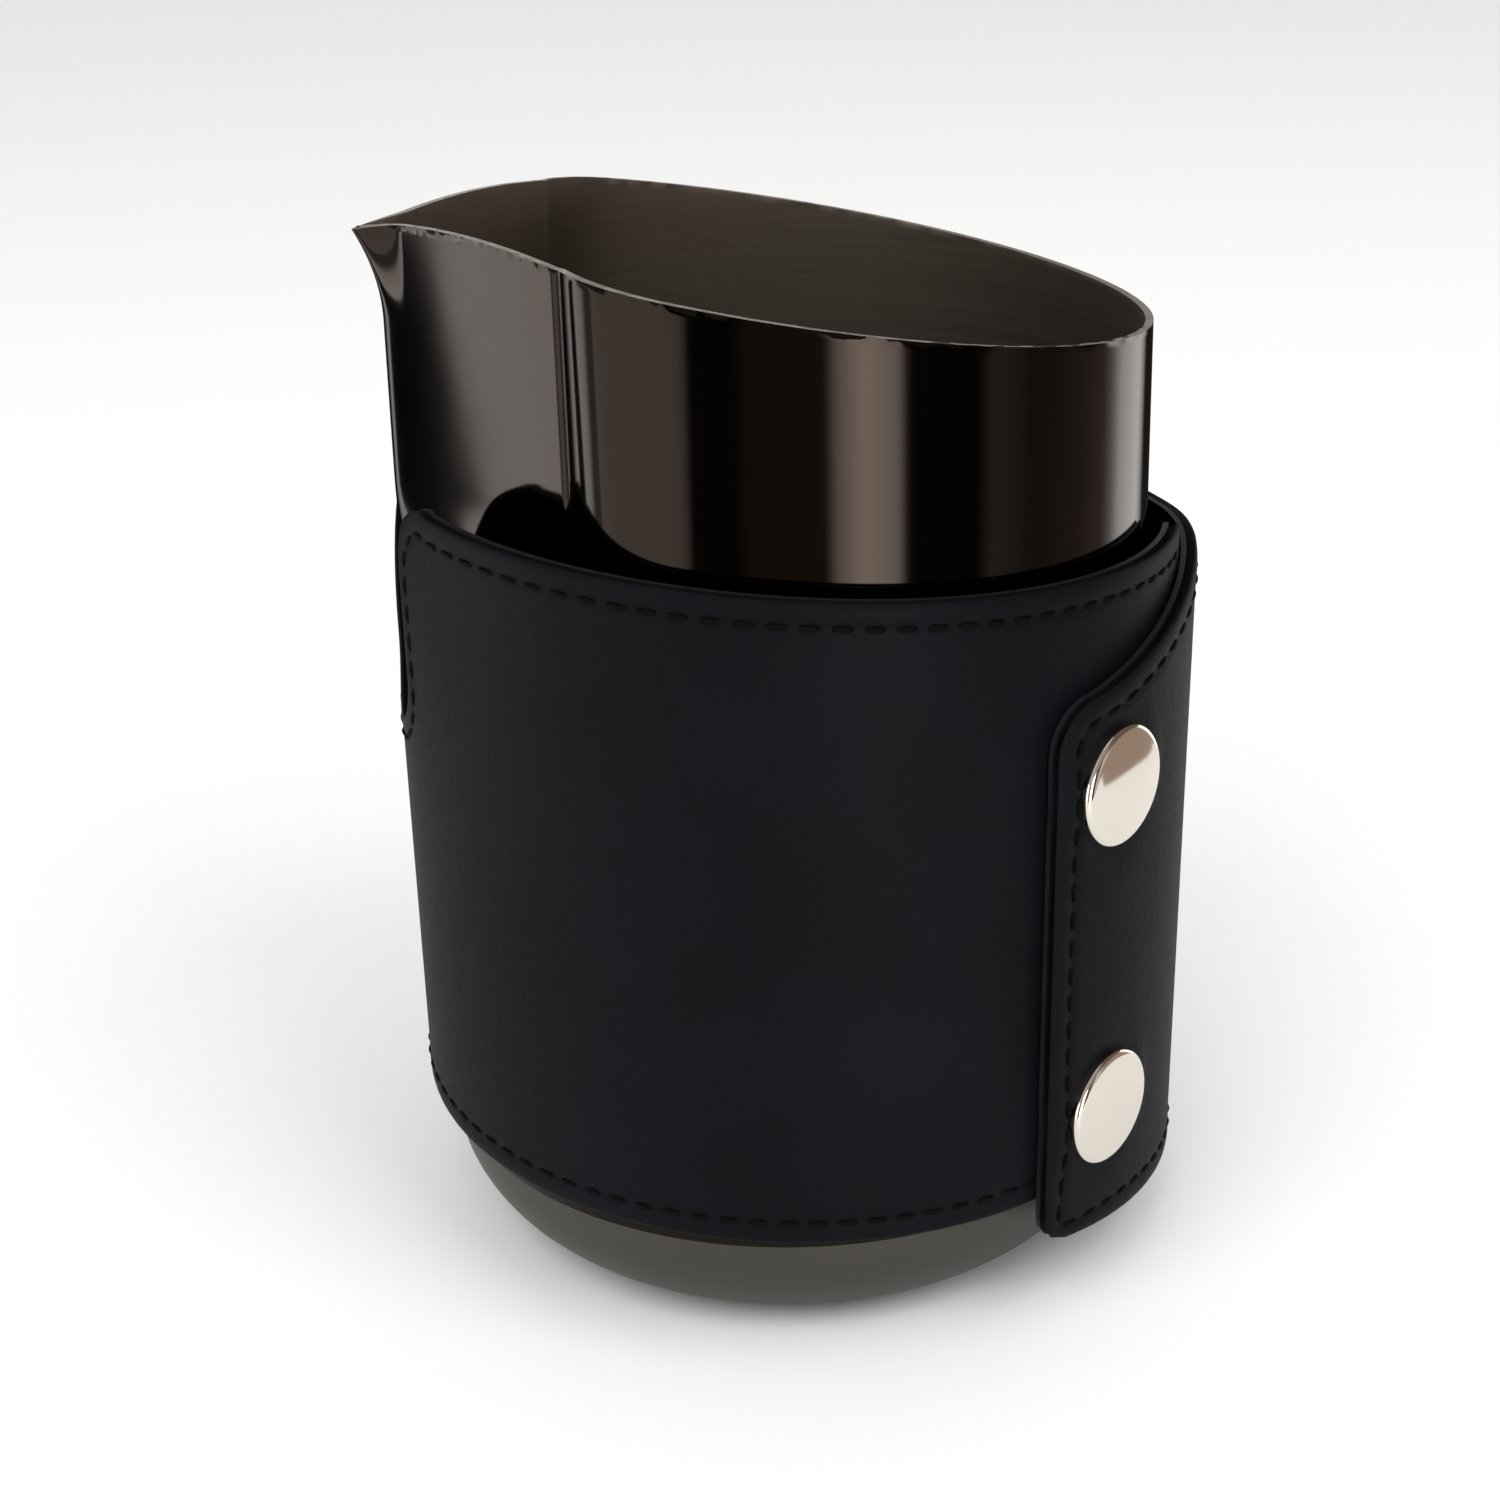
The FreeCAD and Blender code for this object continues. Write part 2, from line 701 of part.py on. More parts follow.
def flap_rows():
    end = flap_across(size("flap_end"))
    end_inset = size("end_stitch_inset")
    end_row = strip_solid(strip_thick, proud, flap_tip + (end_inset + thread) / degree,
                          flap_tip + end_inset / degree)
    low = size("flap_foot") + inset
    high = size("flap_shoulder") - size("flap_corner")
    keep_box = Part.makeBox(TALL, TALL, high - low, Vector(-TALL / 2, -TALL / 2, low))
    rise = (flap_across(size("bend_angle")),
            back_edge(size("back_top"), size("back_top_slope"), size("flap_rise_start")))
    share = (rise[0] - end - size("flap_corner"))
    share /= flap_across(size("flap_rise_start")) - end - size("flap_corner")
    rise_height = size("flap_shoulder") + share * (rise[1] - size("flap_shoulder"))
    start = (end + size("flap_corner"), size("flap_shoulder") - inset)
    stop = (rise[0], rise_height - inset)
    band = [line(start, stop), line(stop, (stop[0], stop[1] - thread)),
            line((stop[0], stop[1] - thread), (start[0], start[1] - thread)),
            line((start[0], start[1] - thread), start)]
    skin = strip_solid(strip_thick, proud, bend_end - bend_clear, flap_tip)
    foot_start = (end + inset + thread, size("flap_foot") + inset)
    foot_stop = (flap_across(size("bend_angle")),
                 back_edge(size("back_bottom"), size("back_bottom_slope"), size("bend_angle")) + inset)
    foot = [line(foot_start, foot_stop), line(foot_stop, (foot_stop[0], foot_stop[1] + thread)),
            line((foot_stop[0], foot_stop[1] + thread), (foot_start[0], foot_start[1] + thread)),
            line((foot_start[0], foot_start[1] + thread), foot_start)]
    rows = [end_row.common(keep_box), skin.common(radial_tool(flap_middle, band)),
            skin.common(radial_tool(flap_middle, foot))]
    return Part.makeCompound(rows)


keep(shape_feature("sleeve_stitching", sleeve_rows()), "sleeve_stitching")
keep(shape_feature("flap_stitching", flap_rows()), "flap_stitching")


# ---- snap fasteners, turned about the line that points out from the cup's axis ----

CAP_SEAT = "(%s - sizes.cap_seat)" % FLAP_OUTER
CAP_TOP = "(%s + sizes.cap_height)" % CAP_SEAT
SOCKET_FACE = "(%s + sizes.lining_thick)" % FLAP_FACE
SOCKET_TOP = "(%s + sizes.socket_height)" % SOCKET_FACE
CEILING = "(%s - sizes.socket_sheet)" % SOCKET_TOP
GROOVE_LOW = "(%s + sizes.groove_height)" % SOCKET_FACE
GROOVE_HIGH = "(%s + sizes.groove_height)" % GROOVE_LOW
RIVET_HOLE = "sizes.rivet_radius + sizes.hole_clearance"
EYELET_HOLE = "sizes.eyelet_radius + sizes.hole_clearance"
STUD_FLOOR = "(%s + sizes.stud_sheet)" % LAP_FACE
STUD_TOP = "(%s + sizes.stud_height)" % LAP_FACE
NECK_TOP = "(%s + sizes.stud_neck_height)" % STUD_FLOOR
EYELET_SEAT = "(%s - sizes.eyelet_seat)" % INNER_FACE

CAP_OUTLINE = [
    ("0", CAP_TOP),
    ("sizes.cap_radius - sizes.cap_edge", CAP_TOP + " - sizes.cap_crown"),
    ("sizes.cap_radius", CAP_TOP + " - sizes.cap_edge"),
    ("sizes.cap_radius", CAP_SEAT),
    ("sizes.cap_radius - sizes.cap_sheet", CAP_SEAT),
    ("sizes.cap_radius - sizes.cap_sheet", CAP_TOP + " - sizes.cap_edge - sizes.cap_crown"),
    ("sizes.cap_radius - sizes.cap_edge - sizes.cap_crown", CAP_TOP + " - sizes.cap_crown - sizes.cap_sheet"),
    ("sizes.rivet_radius", CAP_TOP + " - sizes.cap_crown - sizes.cap_sheet"),
    ("sizes.rivet_radius", CEILING),
    ("sizes.rivet_flare", CEILING),
    ("sizes.rivet_flare", CEILING + " - sizes.flare_height"),
    ("0", CEILING + " - sizes.flare_height"),
]
SOCKET_OUTLINE = [
    ("sizes.socket_cavity", SOCKET_FACE),
    ("sizes.socket_flange", SOCKET_FACE),
    ("sizes.socket_flange", SOCKET_FACE + " + sizes.socket_sheet"),
    ("sizes.socket_body", SOCKET_FACE + " + sizes.socket_sheet"),
    ("sizes.socket_body", SOCKET_TOP),
    (RIVET_HOLE, SOCKET_TOP),
    (RIVET_HOLE, CEILING),
    ("sizes.socket_cavity", CEILING),
    ("sizes.socket_cavity", GROOVE_HIGH),
    ("sizes.spring_groove", GROOVE_HIGH),
    ("sizes.spring_groove", GROOVE_LOW),
    ("sizes.socket_cavity", GROOVE_LOW),
]
STUD_OUTLINE = [
    (EYELET_HOLE, LAP_FACE),
    ("sizes.stud_base", LAP_FACE),
    ("sizes.stud_base", STUD_FLOOR),
    ("sizes.stud_neck", STUD_FLOOR),
    ("sizes.stud_neck", NECK_TOP),
    ("sizes.stud_head", NECK_TOP + " + sizes.stud_head - sizes.stud_neck"),
    ("sizes.stud_head", STUD_TOP + " - sizes.stud_lead"),
    ("sizes.stud_head - sizes.stud_lead", STUD_TOP),
    ("sizes.stud_bore", STUD_TOP),
    ("sizes.stud_bore", STUD_FLOOR),
    (EYELET_HOLE, STUD_FLOOR),
]
EYELET_OUTLINE = [
    ("sizes.eyelet_bore", EYELET_SEAT),
    ("sizes.eyelet_flange", EYELET_SEAT),
    ("sizes.eyelet_flange", EYELET_SEAT + " + sizes.eyelet_sheet"),
    ("sizes.eyelet_radius", EYELET_SEAT + " + sizes.eyelet_sheet"),
    ("sizes.eyelet_radius", STUD_FLOOR),
    ("sizes.eyelet_roll", STUD_FLOOR),
    ("sizes.eyelet_roll", STUD_FLOOR + " + sizes.roll_height"),
    ("sizes.eyelet_bore", STUD_FLOOR + " + sizes.roll_height"),
]


def point_outwards(feature, height_alias):
    angle = size("snap_angle")
    lay_down = FreeCAD.Rotation(Vector(0, 1, 0), 90.0)
    swing = FreeCAD.Rotation(Vector(0, 0, 1), angle)
    feature.Placement = FreeCAD.Placement(Vector(0, 0, size(height_alias)), swing.multiply(lay_down))
    feature.setExpression("Placement.Base.z", "sizes." + height_alias)


def ring_spring(name, height_alias):
    ring = doc.addObject("Part::Torus", name)
    ring.setExpression("Radius1", "sizes.spring_groove - sizes.spring_wire / 2 - sizes.hole_clearance")
    ring.setExpression("Radius2", "sizes.spring_wire / 2")
    doc.recompute()
    middle = ring.evalExpression(GROOVE_LOW + " + sizes.groove_height / 2")
    swing = FreeCAD.Rotation(Vector(0, 0, 1), size("snap_angle"))
    lay_down = FreeCAD.Rotation(Vector(0, 1, 0), 90.0)
    centre = polar(middle, size("snap_angle"), size(height_alias))
    ring.Placement = FreeCAD.Placement(centre, swing.multiply(lay_down))
    ring.setExpression("Placement.Base.z", "sizes." + height_alias)
    return ring


for prefix, height_alias in (("upper", "upper_snap"), ("lower", "lower_snap")):
    for piece, outline in (
        ("snap_cap", CAP_OUTLINE),
        ("snap_socket", SOCKET_OUTLINE),
        ("snap_stud", STUD_OUTLINE),
        ("snap_eyelet", EYELET_OUTLINE),
    ):
        node = prefix + "_" + piece
        body = turned_body(node, outline)
        point_outwards(body, height_alias)
        keep(body, node)
    spring_node = prefix + "_snap_spring"
    keep(ring_spring(spring_node, height_alias), spring_node)


# ---- check and write ----

doc.recompute()
for feature in doc.Objects:
    for state in feature.State:
        if state in ("Invalid", "Error"):
            raise RuntimeError("%s did not build: %s" % (feature.Label, feature.State))

os.makedirs("parts", exist_ok=True)
for feature in sub_parts:
    shape = feature.Shape
    if shape.isNull() or not shape.isValid() or not shape.Solids:
        raise RuntimeError("%s has no valid solid" % feature.Label)
    shape.exportStep("parts/%s.step" % feature.Label)
    box = shape.BoundBox
    print("%-20s solids %d volume %9.2f  x %.2f %.2f  y %.2f %.2f  z %.2f %.2f" % (
        feature.Label, len(shape.Solids), shape.Volume,
        box.XMin, box.XMax, box.YMin, box.YMax, box.ZMin, box.ZMax))
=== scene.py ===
import math

import bmesh
import bpy
from mathutils import Matrix, Vector


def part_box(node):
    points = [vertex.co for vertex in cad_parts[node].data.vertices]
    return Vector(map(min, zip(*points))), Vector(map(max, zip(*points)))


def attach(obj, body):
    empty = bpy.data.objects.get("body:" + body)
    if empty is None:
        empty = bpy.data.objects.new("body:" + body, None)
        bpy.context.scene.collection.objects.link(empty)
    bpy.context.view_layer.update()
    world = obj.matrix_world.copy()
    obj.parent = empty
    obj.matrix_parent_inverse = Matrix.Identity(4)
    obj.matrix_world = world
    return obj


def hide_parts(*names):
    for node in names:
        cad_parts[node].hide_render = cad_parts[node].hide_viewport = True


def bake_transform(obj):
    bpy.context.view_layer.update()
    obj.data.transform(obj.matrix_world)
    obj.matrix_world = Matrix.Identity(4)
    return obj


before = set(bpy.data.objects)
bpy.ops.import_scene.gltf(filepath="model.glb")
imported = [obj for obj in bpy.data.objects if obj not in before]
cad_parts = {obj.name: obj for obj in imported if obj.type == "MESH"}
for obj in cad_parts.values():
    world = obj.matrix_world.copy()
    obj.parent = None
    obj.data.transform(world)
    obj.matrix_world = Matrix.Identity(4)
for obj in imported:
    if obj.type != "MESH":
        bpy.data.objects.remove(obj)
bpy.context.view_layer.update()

mm = 0.001


def smoothStep(share):
    share = min(max(share, 0.0), 1.0)
    return share * share * (3.0 - 2.0 * share)


def polar(radius, degrees, height):
    angle = math.radians(degrees)
    return Vector((radius * math.cos(angle), radius * math.sin(angle), height))


def hexColour(text, alpha=1.0):
    # sRGB hex to the linear numbers that sockets hold
    linear = []
    for start in (0, 2, 4):
        part = int(text[start:start + 2], 16) / 255.0
        linear.append(part / 12.92 if part <= 0.04045 else ((part + 0.055) / 1.055) ** 2.4)
    return (*linear, alpha)


def selectOnly(piece):
    bpy.ops.object.select_all(action="DESELECT")
    piece.select_set(True)
    bpy.context.view_layer.objects.active = piece


def named(name):
    piece = bpy.context.active_object
    piece.name = name
    piece.data.name = name
    return piece


def applyModifier(piece, kind, **settings):
    selectOnly(piece)
    modifier = piece.modifiers.new(kind, kind)
    for key, value in settings.items():
        setattr(modifier, key, value)
    bpy.ops.object.modifier_apply(modifier=modifier.name)


def smooth(piece, degrees):
    selectOnly(piece)
    bpy.ops.object.shade_smooth_by_angle(angle=math.radians(degrees))


def giveMaterials(piece, *materials):
    piece.data.materials.clear()
    for material in materials:
        piece.data.materials.append(material)


def newMaterial(name):
    material = bpy.data.materials.new(name)
    material.use_nodes = True
    tree = material.node_tree
    shader = tree.nodes["Principled BSDF"]
    return material, tree, shader


def addNode(tree, kind, settings=None, **links):
    # settings go to the node itself, or to the input of that name; links name an input and a socket
    node = tree.nodes.new(kind)
    for key, value in (settings or {}).items():
        if key in node.inputs:
            node.inputs[key].default_value = value
        else:
            setattr(node, key, value)
    for key, socket in links.items():
        tree.links.new(socket, node.inputs[key.replace("_", " ")])
    return node


def rampBetween(tree, socket, lowAt, highAt, lowColour, highColour):
    ramp = addNode(tree, "ShaderNodeValToRGB", Fac=socket)
    ramp.color_ramp.elements[0].position = lowAt
    ramp.color_ramp.elements[1].position = highAt
    ramp.color_ramp.elements[0].color = lowColour
    ramp.color_ramp.elements[1].color = highColour
    return ramp.outputs["Color"]


print("materials")


def blackMirrorSteel():
    # stainless sheet, buffed to a mirror and coated black: dark warm reflections, faint wipe marks
    material, tree, shader = newMaterial("black coated mirror steel")
    shader.inputs["Base Color"].default_value = hexColour("211d1a")
    shader.inputs["Metallic"].default_value = 1.0
    place = addNode(tree, "ShaderNodeTexCoord").outputs["Object"]
    haze = addNode(tree, "ShaderNodeTexNoise", {"Scale": 60.0, "Detail": 3.0}, Vector=place)
    rough = addNode(tree, "ShaderNodeMapRange", {"To Min": 0.05, "To Max": 0.11}, Value=haze.outputs["Fac"])
    tree.links.new(rough.outputs["Result"], shader.inputs["Roughness"])
    return material


def satinSteel():
    # the same sheet inside, left with the fine lines of the brush that runs round it
    material, tree, shader = newMaterial("black coated brushed steel")
    shader.inputs["Base Color"].default_value = hexColour("6f675d")
    shader.inputs["Metallic"].default_value = 1.0
    place = addNode(tree, "ShaderNodeTexCoord").outputs["Object"]
    flat = addNode(tree, "ShaderNodeMapping", {"Scale": (12.0, 12.0, 900.0)}, Vector=place)
    lines = addNode(tree, "ShaderNodeTexNoise", {"Scale": 2.0, "Detail": 2.0}, Vector=flat.outputs["Vector"])
    rough = addNode(tree, "ShaderNodeMapRange", {"To Min": 0.48, "To Max": 0.6}, Value=lines.outputs["Fac"])
    tree.links.new(rough.outputs["Result"], shader.inputs["Roughness"])
    bump = addNode(tree, "ShaderNodeBump", {"Strength": 0.12, "Distance": 0.00005},
                   Height=lines.outputs["Fac"])
    tree.links.new(bump.outputs["Normal"], shader.inputs["Normal"])
    return material


def mattSteelPaintedReflection():
    # the corner of the base, matt, with a painted reflection: its lighter warm grey stands in for the pale
    # floor mirrored in the coated steel
    material, tree, shader = newMaterial("matt steel with painted floor reflection")
    shader.inputs["Base Color"].default_value = hexColour("4b4945")
    shader.inputs["Metallic"].default_value = 1.0
    shader.inputs["Roughness"].default_value = 0.5
    return material


def cutSteel():
    # the trimmed rim, where the coat is thin and the edge is polished bright
    material, tree, shader = newMaterial("polished steel edge")
    shader.inputs["Base Color"].default_value = hexColour("8b857e")
    shader.inputs["Metallic"].default_value = 1.0
    shader.inputs["Roughness"].default_value = 0.16
    return material


def smoothLeather(name, colour, paintedSheenColour):
    # vegetable tanned hide, dyed through and waxed: close grain, soft highlights, and a painted sheen, a
    # paler colour laid on in random cloudy patches
    material, tree, shader = newMaterial(name)
    place = addNode(tree, "ShaderNodeTexCoord").outputs["Object"]
    grain = addNode(tree, "ShaderNodeTexVoronoi", {"Scale": 1600.0, "Randomness": 1.0}, Vector=place)
    pores = addNode(tree, "ShaderNodeTexNoise", {"Scale": 900.0, "Detail": 4.0}, Vector=place)
    cloud = addNode(tree, "ShaderNodeTexNoise", {"Scale": 45.0, "Detail": 3.0}, Vector=place)
    # painted sheen: the leather turns to its paler second colour wherever the cloud noise is high
    paintedSheenTint = rampBetween(tree, cloud.outputs["Fac"], 0.3, 0.75, hexColour(colour), hexColour(paintedSheenColour))
    tree.links.new(paintedSheenTint, shader.inputs["Base Color"])
    rough = addNode(tree, "ShaderNodeMapRange", {"To Min": 0.48, "To Max": 0.62}, Value=pores.outputs["Fac"])
    tree.links.new(rough.outputs["Result"], shader.inputs["Roughness"])
    both = addNode(tree, "ShaderNodeMath", {"operation": "MULTIPLY_ADD"})
    tree.links.new(grain.outputs["Distance"], both.inputs[0])
    both.inputs[1].default_value = 0.6
    tree.links.new(pores.outputs["Fac"], both.inputs[2])
    bump = addNode(tree, "ShaderNodeBump", {"Strength": 0.3, "Distance": 0.00012},
                   Height=both.outputs["Value"])
    tree.links.new(bump.outputs["Normal"], shader.inputs["Normal"])
    shader.inputs["Specular IOR Level"].default_value = 0.05
    return material


def paintedEdge():
    # edge paint on the cut leather: smooth, a little paler and shinier than the face
    material, tree, shader = newMaterial("edge paint")
    shader.inputs["Base Color"].default_value = hexColour("1b1b1f")
    shader.inputs["Roughness"].default_value = 0.42
    shader.inputs["Specular IOR Level"].default_value = 0.2
    return material


def waxedThread():
    # twisted and waxed polyester: the strands show as slanting lines
    material, tree, shader = newMaterial("waxed thread")
    shader.inputs["Base Color"].default_value = hexColour("060608")
    shader.inputs["Roughness"].default_value = 0.6
    shader.inputs["Specular IOR Level"].default_value = 0.04
    place = addNode(tree, "ShaderNodeTexCoord").outputs["Object"]
    twist = addNode(tree, "ShaderNodeTexWave", {"Scale": 900.0, "bands_direction": "DIAGONAL"}, Vector=place)
    bump = addNode(tree, "ShaderNodeBump", {"Strength": 0.5, "Distance": 0.0001},
                   Height=twist.outputs["Fac"])
    tree.links.new(bump.outputs["Normal"], shader.inputs["Normal"])
    return material


def polishedNickel():
    # stamped brass with a bright nickel plate: warm silver, very fine polishing haze
    material, tree, shader = newMaterial("polished nickel plate")
    shader.inputs["Base Color"].default_value = hexColour("d9d2c8")
    shader.inputs["Metallic"].default_value = 1.0
    place = addNode(tree, "ShaderNodeTexCoord").outputs["Object"]
    haze = addNode(tree, "ShaderNodeTexNoise", {"Scale": 400.0, "Detail": 3.0}, Vector=place)
    rough = addNode(tree, "ShaderNodeMapRange", {"To Min": 0.07, "To Max": 0.13}, Value=haze.outputs["Fac"])
    tree.links.new(rough.outputs["Result"], shader.inputs["Roughness"])
    return material


def springSteel():
    # drawn wire, plain and slightly dull
    material, tree, shader = newMaterial("drawn spring wire")
    shader.inputs["Base Color"].default_value = hexColour("b0a48f")
    shader.inputs["Metallic"].default_value = 1.0
    shader.inputs["Roughness"].default_value = 0.28
    return material


mirrorSteel = blackMirrorSteel()
insideSteel = satinSteel()
edgeSteel = cutSteel()
paintedReflectionSteel = mattSteelPaintedReflection()
# the second colour of each leather is its painted sheen
faceLeather = smoothLeather("waxed navy leather", "09090e", "0e0e14")
liningLeather = smoothLeather("split leather lining", "111113", "171719")
edgePaint = paintedEdge()
blackThread = waxedThread()
nickel = polishedNickel()
springWire = springSteel()


print("cup")
cup = {
    "baseRadius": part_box("pitcher_body")[1].x,
    "rimRadius": 38.0 * mm,
    "rimHeight": 107.1 * mm,     # of the rim at the cup's axis
    "rimSlope": 0.176,
    "wall": 0.8 * mm,
    "corner": 13.5 * mm,
    "footRing": 22.0 * mm,
    "footRecess": 0.8 * mm,
    "footFlat": 0.9,             # share of the ring's radius that lies flat inside it
    "pressStart": 58.0 * mm,
    "pressFull": 86.0 * mm,
    "creaseAngle": 47.8,         # degrees from the spout
    "creaseRadius": 34.65 * mm,
    "pressAngle": 68.0,
    "keel": 2.2 * mm,            # how far the spout's ridge stands outside the round wall
    "noseRadius": 0.45 * mm,
    "flareStart": 102.0 * mm,
    "flareHeight": 9.3 * mm,
    "flareReach": 2.6 * mm,
    "flareWidth": 3.6 * mm,
    "lipRadius": 43.0 * mm,
    "lipStart": -25.8 * mm,
    "drawnWall": 60.0 * mm,      # height drawn up before the rim is cut
    "rimBevel": 0.24 * mm,
    "matt": 14.0 * mm,           # the base's corner is matt and carries the painted floor reflection up to here
    "columns": 400,
    "wallRows": 64,
    "crowd": 1.5,                # above 1, columns crowd towards the spout
}


def coneRadius(height):
    taper = (cup["baseRadius"] - cup["rimRadius"]) / cup["rimHeight"]
    return cup["baseRadius"] - taper * height


def rimAt(across):
    # straight slope, rounding over along the lip
    height = cup["rimHeight"] - cup["rimSlope"] * across
    run = cup["lipStart"] - across
    if run > 0:
        height -= cup["lipRadius"] - math.sqrt(cup["lipRadius"] ** 2 - run ** 2)
    return height


def pressedRadius(fromSpout, height):
    # plan outline of the spout: straight flanks, a crease, and a soft shoulder into the round wall
    radius = coneRadius(height)
    creaseRadius = cup["creaseRadius"]
    if fromSpout >= cup["creaseAngle"]:
        share = (fromSpout - cup["creaseAngle"]) / (cup["pressAngle"] - cup["creaseAngle"])
        return radius + (creaseRadius - radius) * (1.0 - share) ** 2
    angle = math.radians(fromSpout)
    crease = math.radians(cup["creaseAngle"])
    keelReach = radius + cup["keel"]
    lean = (keelReach - creaseRadius * math.cos(crease)) / (creaseRadius * math.sin(crease))
    flare = max(height - cup["flareStart"], 0.0) / cup["flareHeight"]
    reach = creaseRadius
    for _ in range(12):
        side = reach * math.sin(angle)
        rounded = math.hypot(side, cup["noseRadius"]) - cup["noseRadius"]
        narrow = max(1.0 - rounded / cup["flareWidth"], 0.0) ** 1.5
        ahead = keelReach - lean * rounded + cup["flareReach"] * flare ** 2 * narrow
        reach = 0.5 * (reach + ahead / math.cos(angle))
    return reach


def wallRadius(fromSpout, height):
    radius = coneRadius(height)
    if fromSpout >= cup["pressAngle"] or height <= cup["pressStart"]:
        return radius
    depth = smoothStep((height - cup["pressStart"]) / (cup["pressFull"] - cup["pressStart"]))
    return radius + depth * (pressedRadius(fromSpout, height) - radius)


def cupProfile():
    # half section of the outside, from the middle of the base up to the wall
    ring, recess, corner, flat = cup["footRing"], cup["footRecess"], cup["corner"], cup["footFlat"]
    points = []
    for step in range(9):
        points.append((ring * flat * step / 8, recess))
    for step in range(1, 7):
        share = step / 6
        points.append((ring * (flat + (1.0 - flat) * share), recess * (1 - smoothStep(share))))
    middle = coneRadius(corner) - corner
    points.append(((ring + middle) / 2, 0.0))
    for step in range(17):
        turn = math.radians(90.0 * step / 16)
        points.append((middle + corner * math.sin(turn), corner - corner * math.cos(turn)))
    for step in range(1, 9):
        height = corner + (cup["pressStart"] - corner) * step / 8
        points.append((coneRadius(height), height))
    return points


def buildCup():
    # a half section is drawn point by point and spun; then the spout is pressed in and the rim slanted
    bpy.ops.object.select_all(action="DESELECT")
    bpy.ops.mesh.primitive_plane_add(size=2.0 * mm)
    piece = named("cup_shell")
    mesh = piece.data
    rows = cup["wallRows"]
    heights = [cup["pressStart"] + cup["drawnWall"] * step / rows for step in range(1, rows + 1)]
    line = [Vector((radius, 0, height)) for radius, height in cupProfile()]
    line += [Vector((cup["rimRadius"], 0, height)) for height in heights]
    bpy.ops.object.mode_set(mode="EDIT")
    bpy.ops.mesh.select_mode(type="VERT")
    bpy.ops.mesh.select_all(action="SELECT")
    bpy.ops.mesh.merge(type="CENTER")
    bpy.ops.transform.translate(value=line[0])
    for start, end in zip(line, line[1:]):
        bpy.ops.mesh.extrude_region_move(TRANSFORM_OT_translate={"value": end - start})
    bpy.ops.mesh.select_all(action="SELECT")
    bpy.ops.mesh.spin(steps=cup["columns"], angle=2 * math.pi, center=(0, 0, 0), axis=(0, 0, 1))
    bpy.ops.mesh.select_all(action="SELECT")
    bpy.ops.mesh.remove_doubles(threshold=0.01 * mm)
    bpy.ops.mesh.normals_make_consistent(inside=False)
    bpy.ops.object.mode_set(mode="OBJECT")
    for vertex in mesh.vertices:
        x, y, z = vertex.co
        radius = math.hypot(x, y)
        if radius < 1e-6:
            continue
        turned = math.degrees(math.atan2(abs(y), -x))
        fromSpout = 180.0 * (turned / 180.0) ** cup["crowd"]
        side = 1.0 if y >= 0 else -1.0
        if z > cup["pressStart"] + 1e-6:
            share = (z - cup["pressStart"]) / cup["drawnWall"]
            height = z
            for _ in range(4):
                reach = wallRadius(fromSpout, height)
                across = -reach * math.cos(math.radians(fromSpout))
                height = cup["pressStart"] + share * (rimAt(across) - cup["pressStart"])
            radius = wallRadius(fromSpout, height)
            z = height
        angle = math.radians(fromSpout)
        vertex.co = (-radius * math.cos(angle), side * radius * math.sin(angle), z)
    giveMaterials(piece, mirrorSteel, insideSteel, edgeSteel, paintedReflectionSteel)
    applyModifier(piece, "SOLIDIFY", thickness=cup["wall"], offset=-1.0, use_even_offset=True,
                  use_quality_normals=True, material_offset=1, material_offset_rim=2)
    applyModifier(piece, "BEVEL", width=cup["rimBevel"], segments=3, limit_method="ANGLE",
                  angle_limit=math.radians(60), material=2)
    # below this height the outside takes the matt steel whose lighter colour is a painted floor reflection
    for face in piece.data.polygons:
        if face.material_index == 0 and face.center.z < cup["matt"]:
            face.material_index = 3
    smooth(piece, 40)
    return piece


cupShell = buildCup()
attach(cupShell, "pitcher")
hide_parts("pitcher_body")


print("leather")
capLow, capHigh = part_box("upper_snap_cap")
lowCapLow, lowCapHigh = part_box("lower_snap_cap")

strip = {
    "innerFace": 39.95 * mm,
    "lining": 0.6 * mm,
    "leather": 1.1 * mm,
    "lapGap": 0.25 * mm,
    "underlapEnd": -18.0,        # degrees; the strip runs clockwise from here, seen from above
    "joggleStart": 14.0,
    "joggleEnd": -12.0,
    "flapEnd": -60.3,
    "splitAngle": 4.0,           # where the part that swings with the flap begins
    "frontTop": (83.3 * mm, 0.084),
    "frontBottom": (15.4 * mm, 0.030),
    "backTop": (82.3 * mm, 0.103),
    "backBottom": (11.6 * mm, 0.121),
    "notchAngle": 185.0,
    "notchHalf": 6.5 * mm,
    "notchBottom": 61.0 * mm,
    "notchCorner": 8.5 * mm,
    "notchFarCorner": 19.0 * mm,
    "riseStart": -2.0,
    "shoulder": 70.0 * mm,
    "flapCorner": 5.2 * mm,
    "foot": 10.0 * mm,
    "footCorner": 3.0 * mm,
    "snapAngle": -48.5,
    "snapFlat": 6.4 * mm,        # the leather is pressed flat to here round a snap,
    "snapFade": 2.6 * mm,        # and is round again this much further out
    "capSink": 0.25 * mm,
    "bendStart": -17.0,          # degrees; a span for the leather's bend when the flap opens, which nothing in the script reads
    "bendEnd": -29.0,
    "bendHeight": 40.0 * mm,
    "footPinch": 0.3,            # share by which the edge rings close up at the foot's round corner
    "columns": 380,
    "rows": 44,
    "leanColumns": 26,
    "squareColumns": 24,         # columns and rows that a square corner draws in
    "squareRows": 10,
    "footColumns": 14,
    "footRows": 9,
    "endPull": 14,               # how fast the ends' own shape fades along the strip
}
ringStep = 0.1                   # the edge rings' spacing on the plain grid, before they are placed

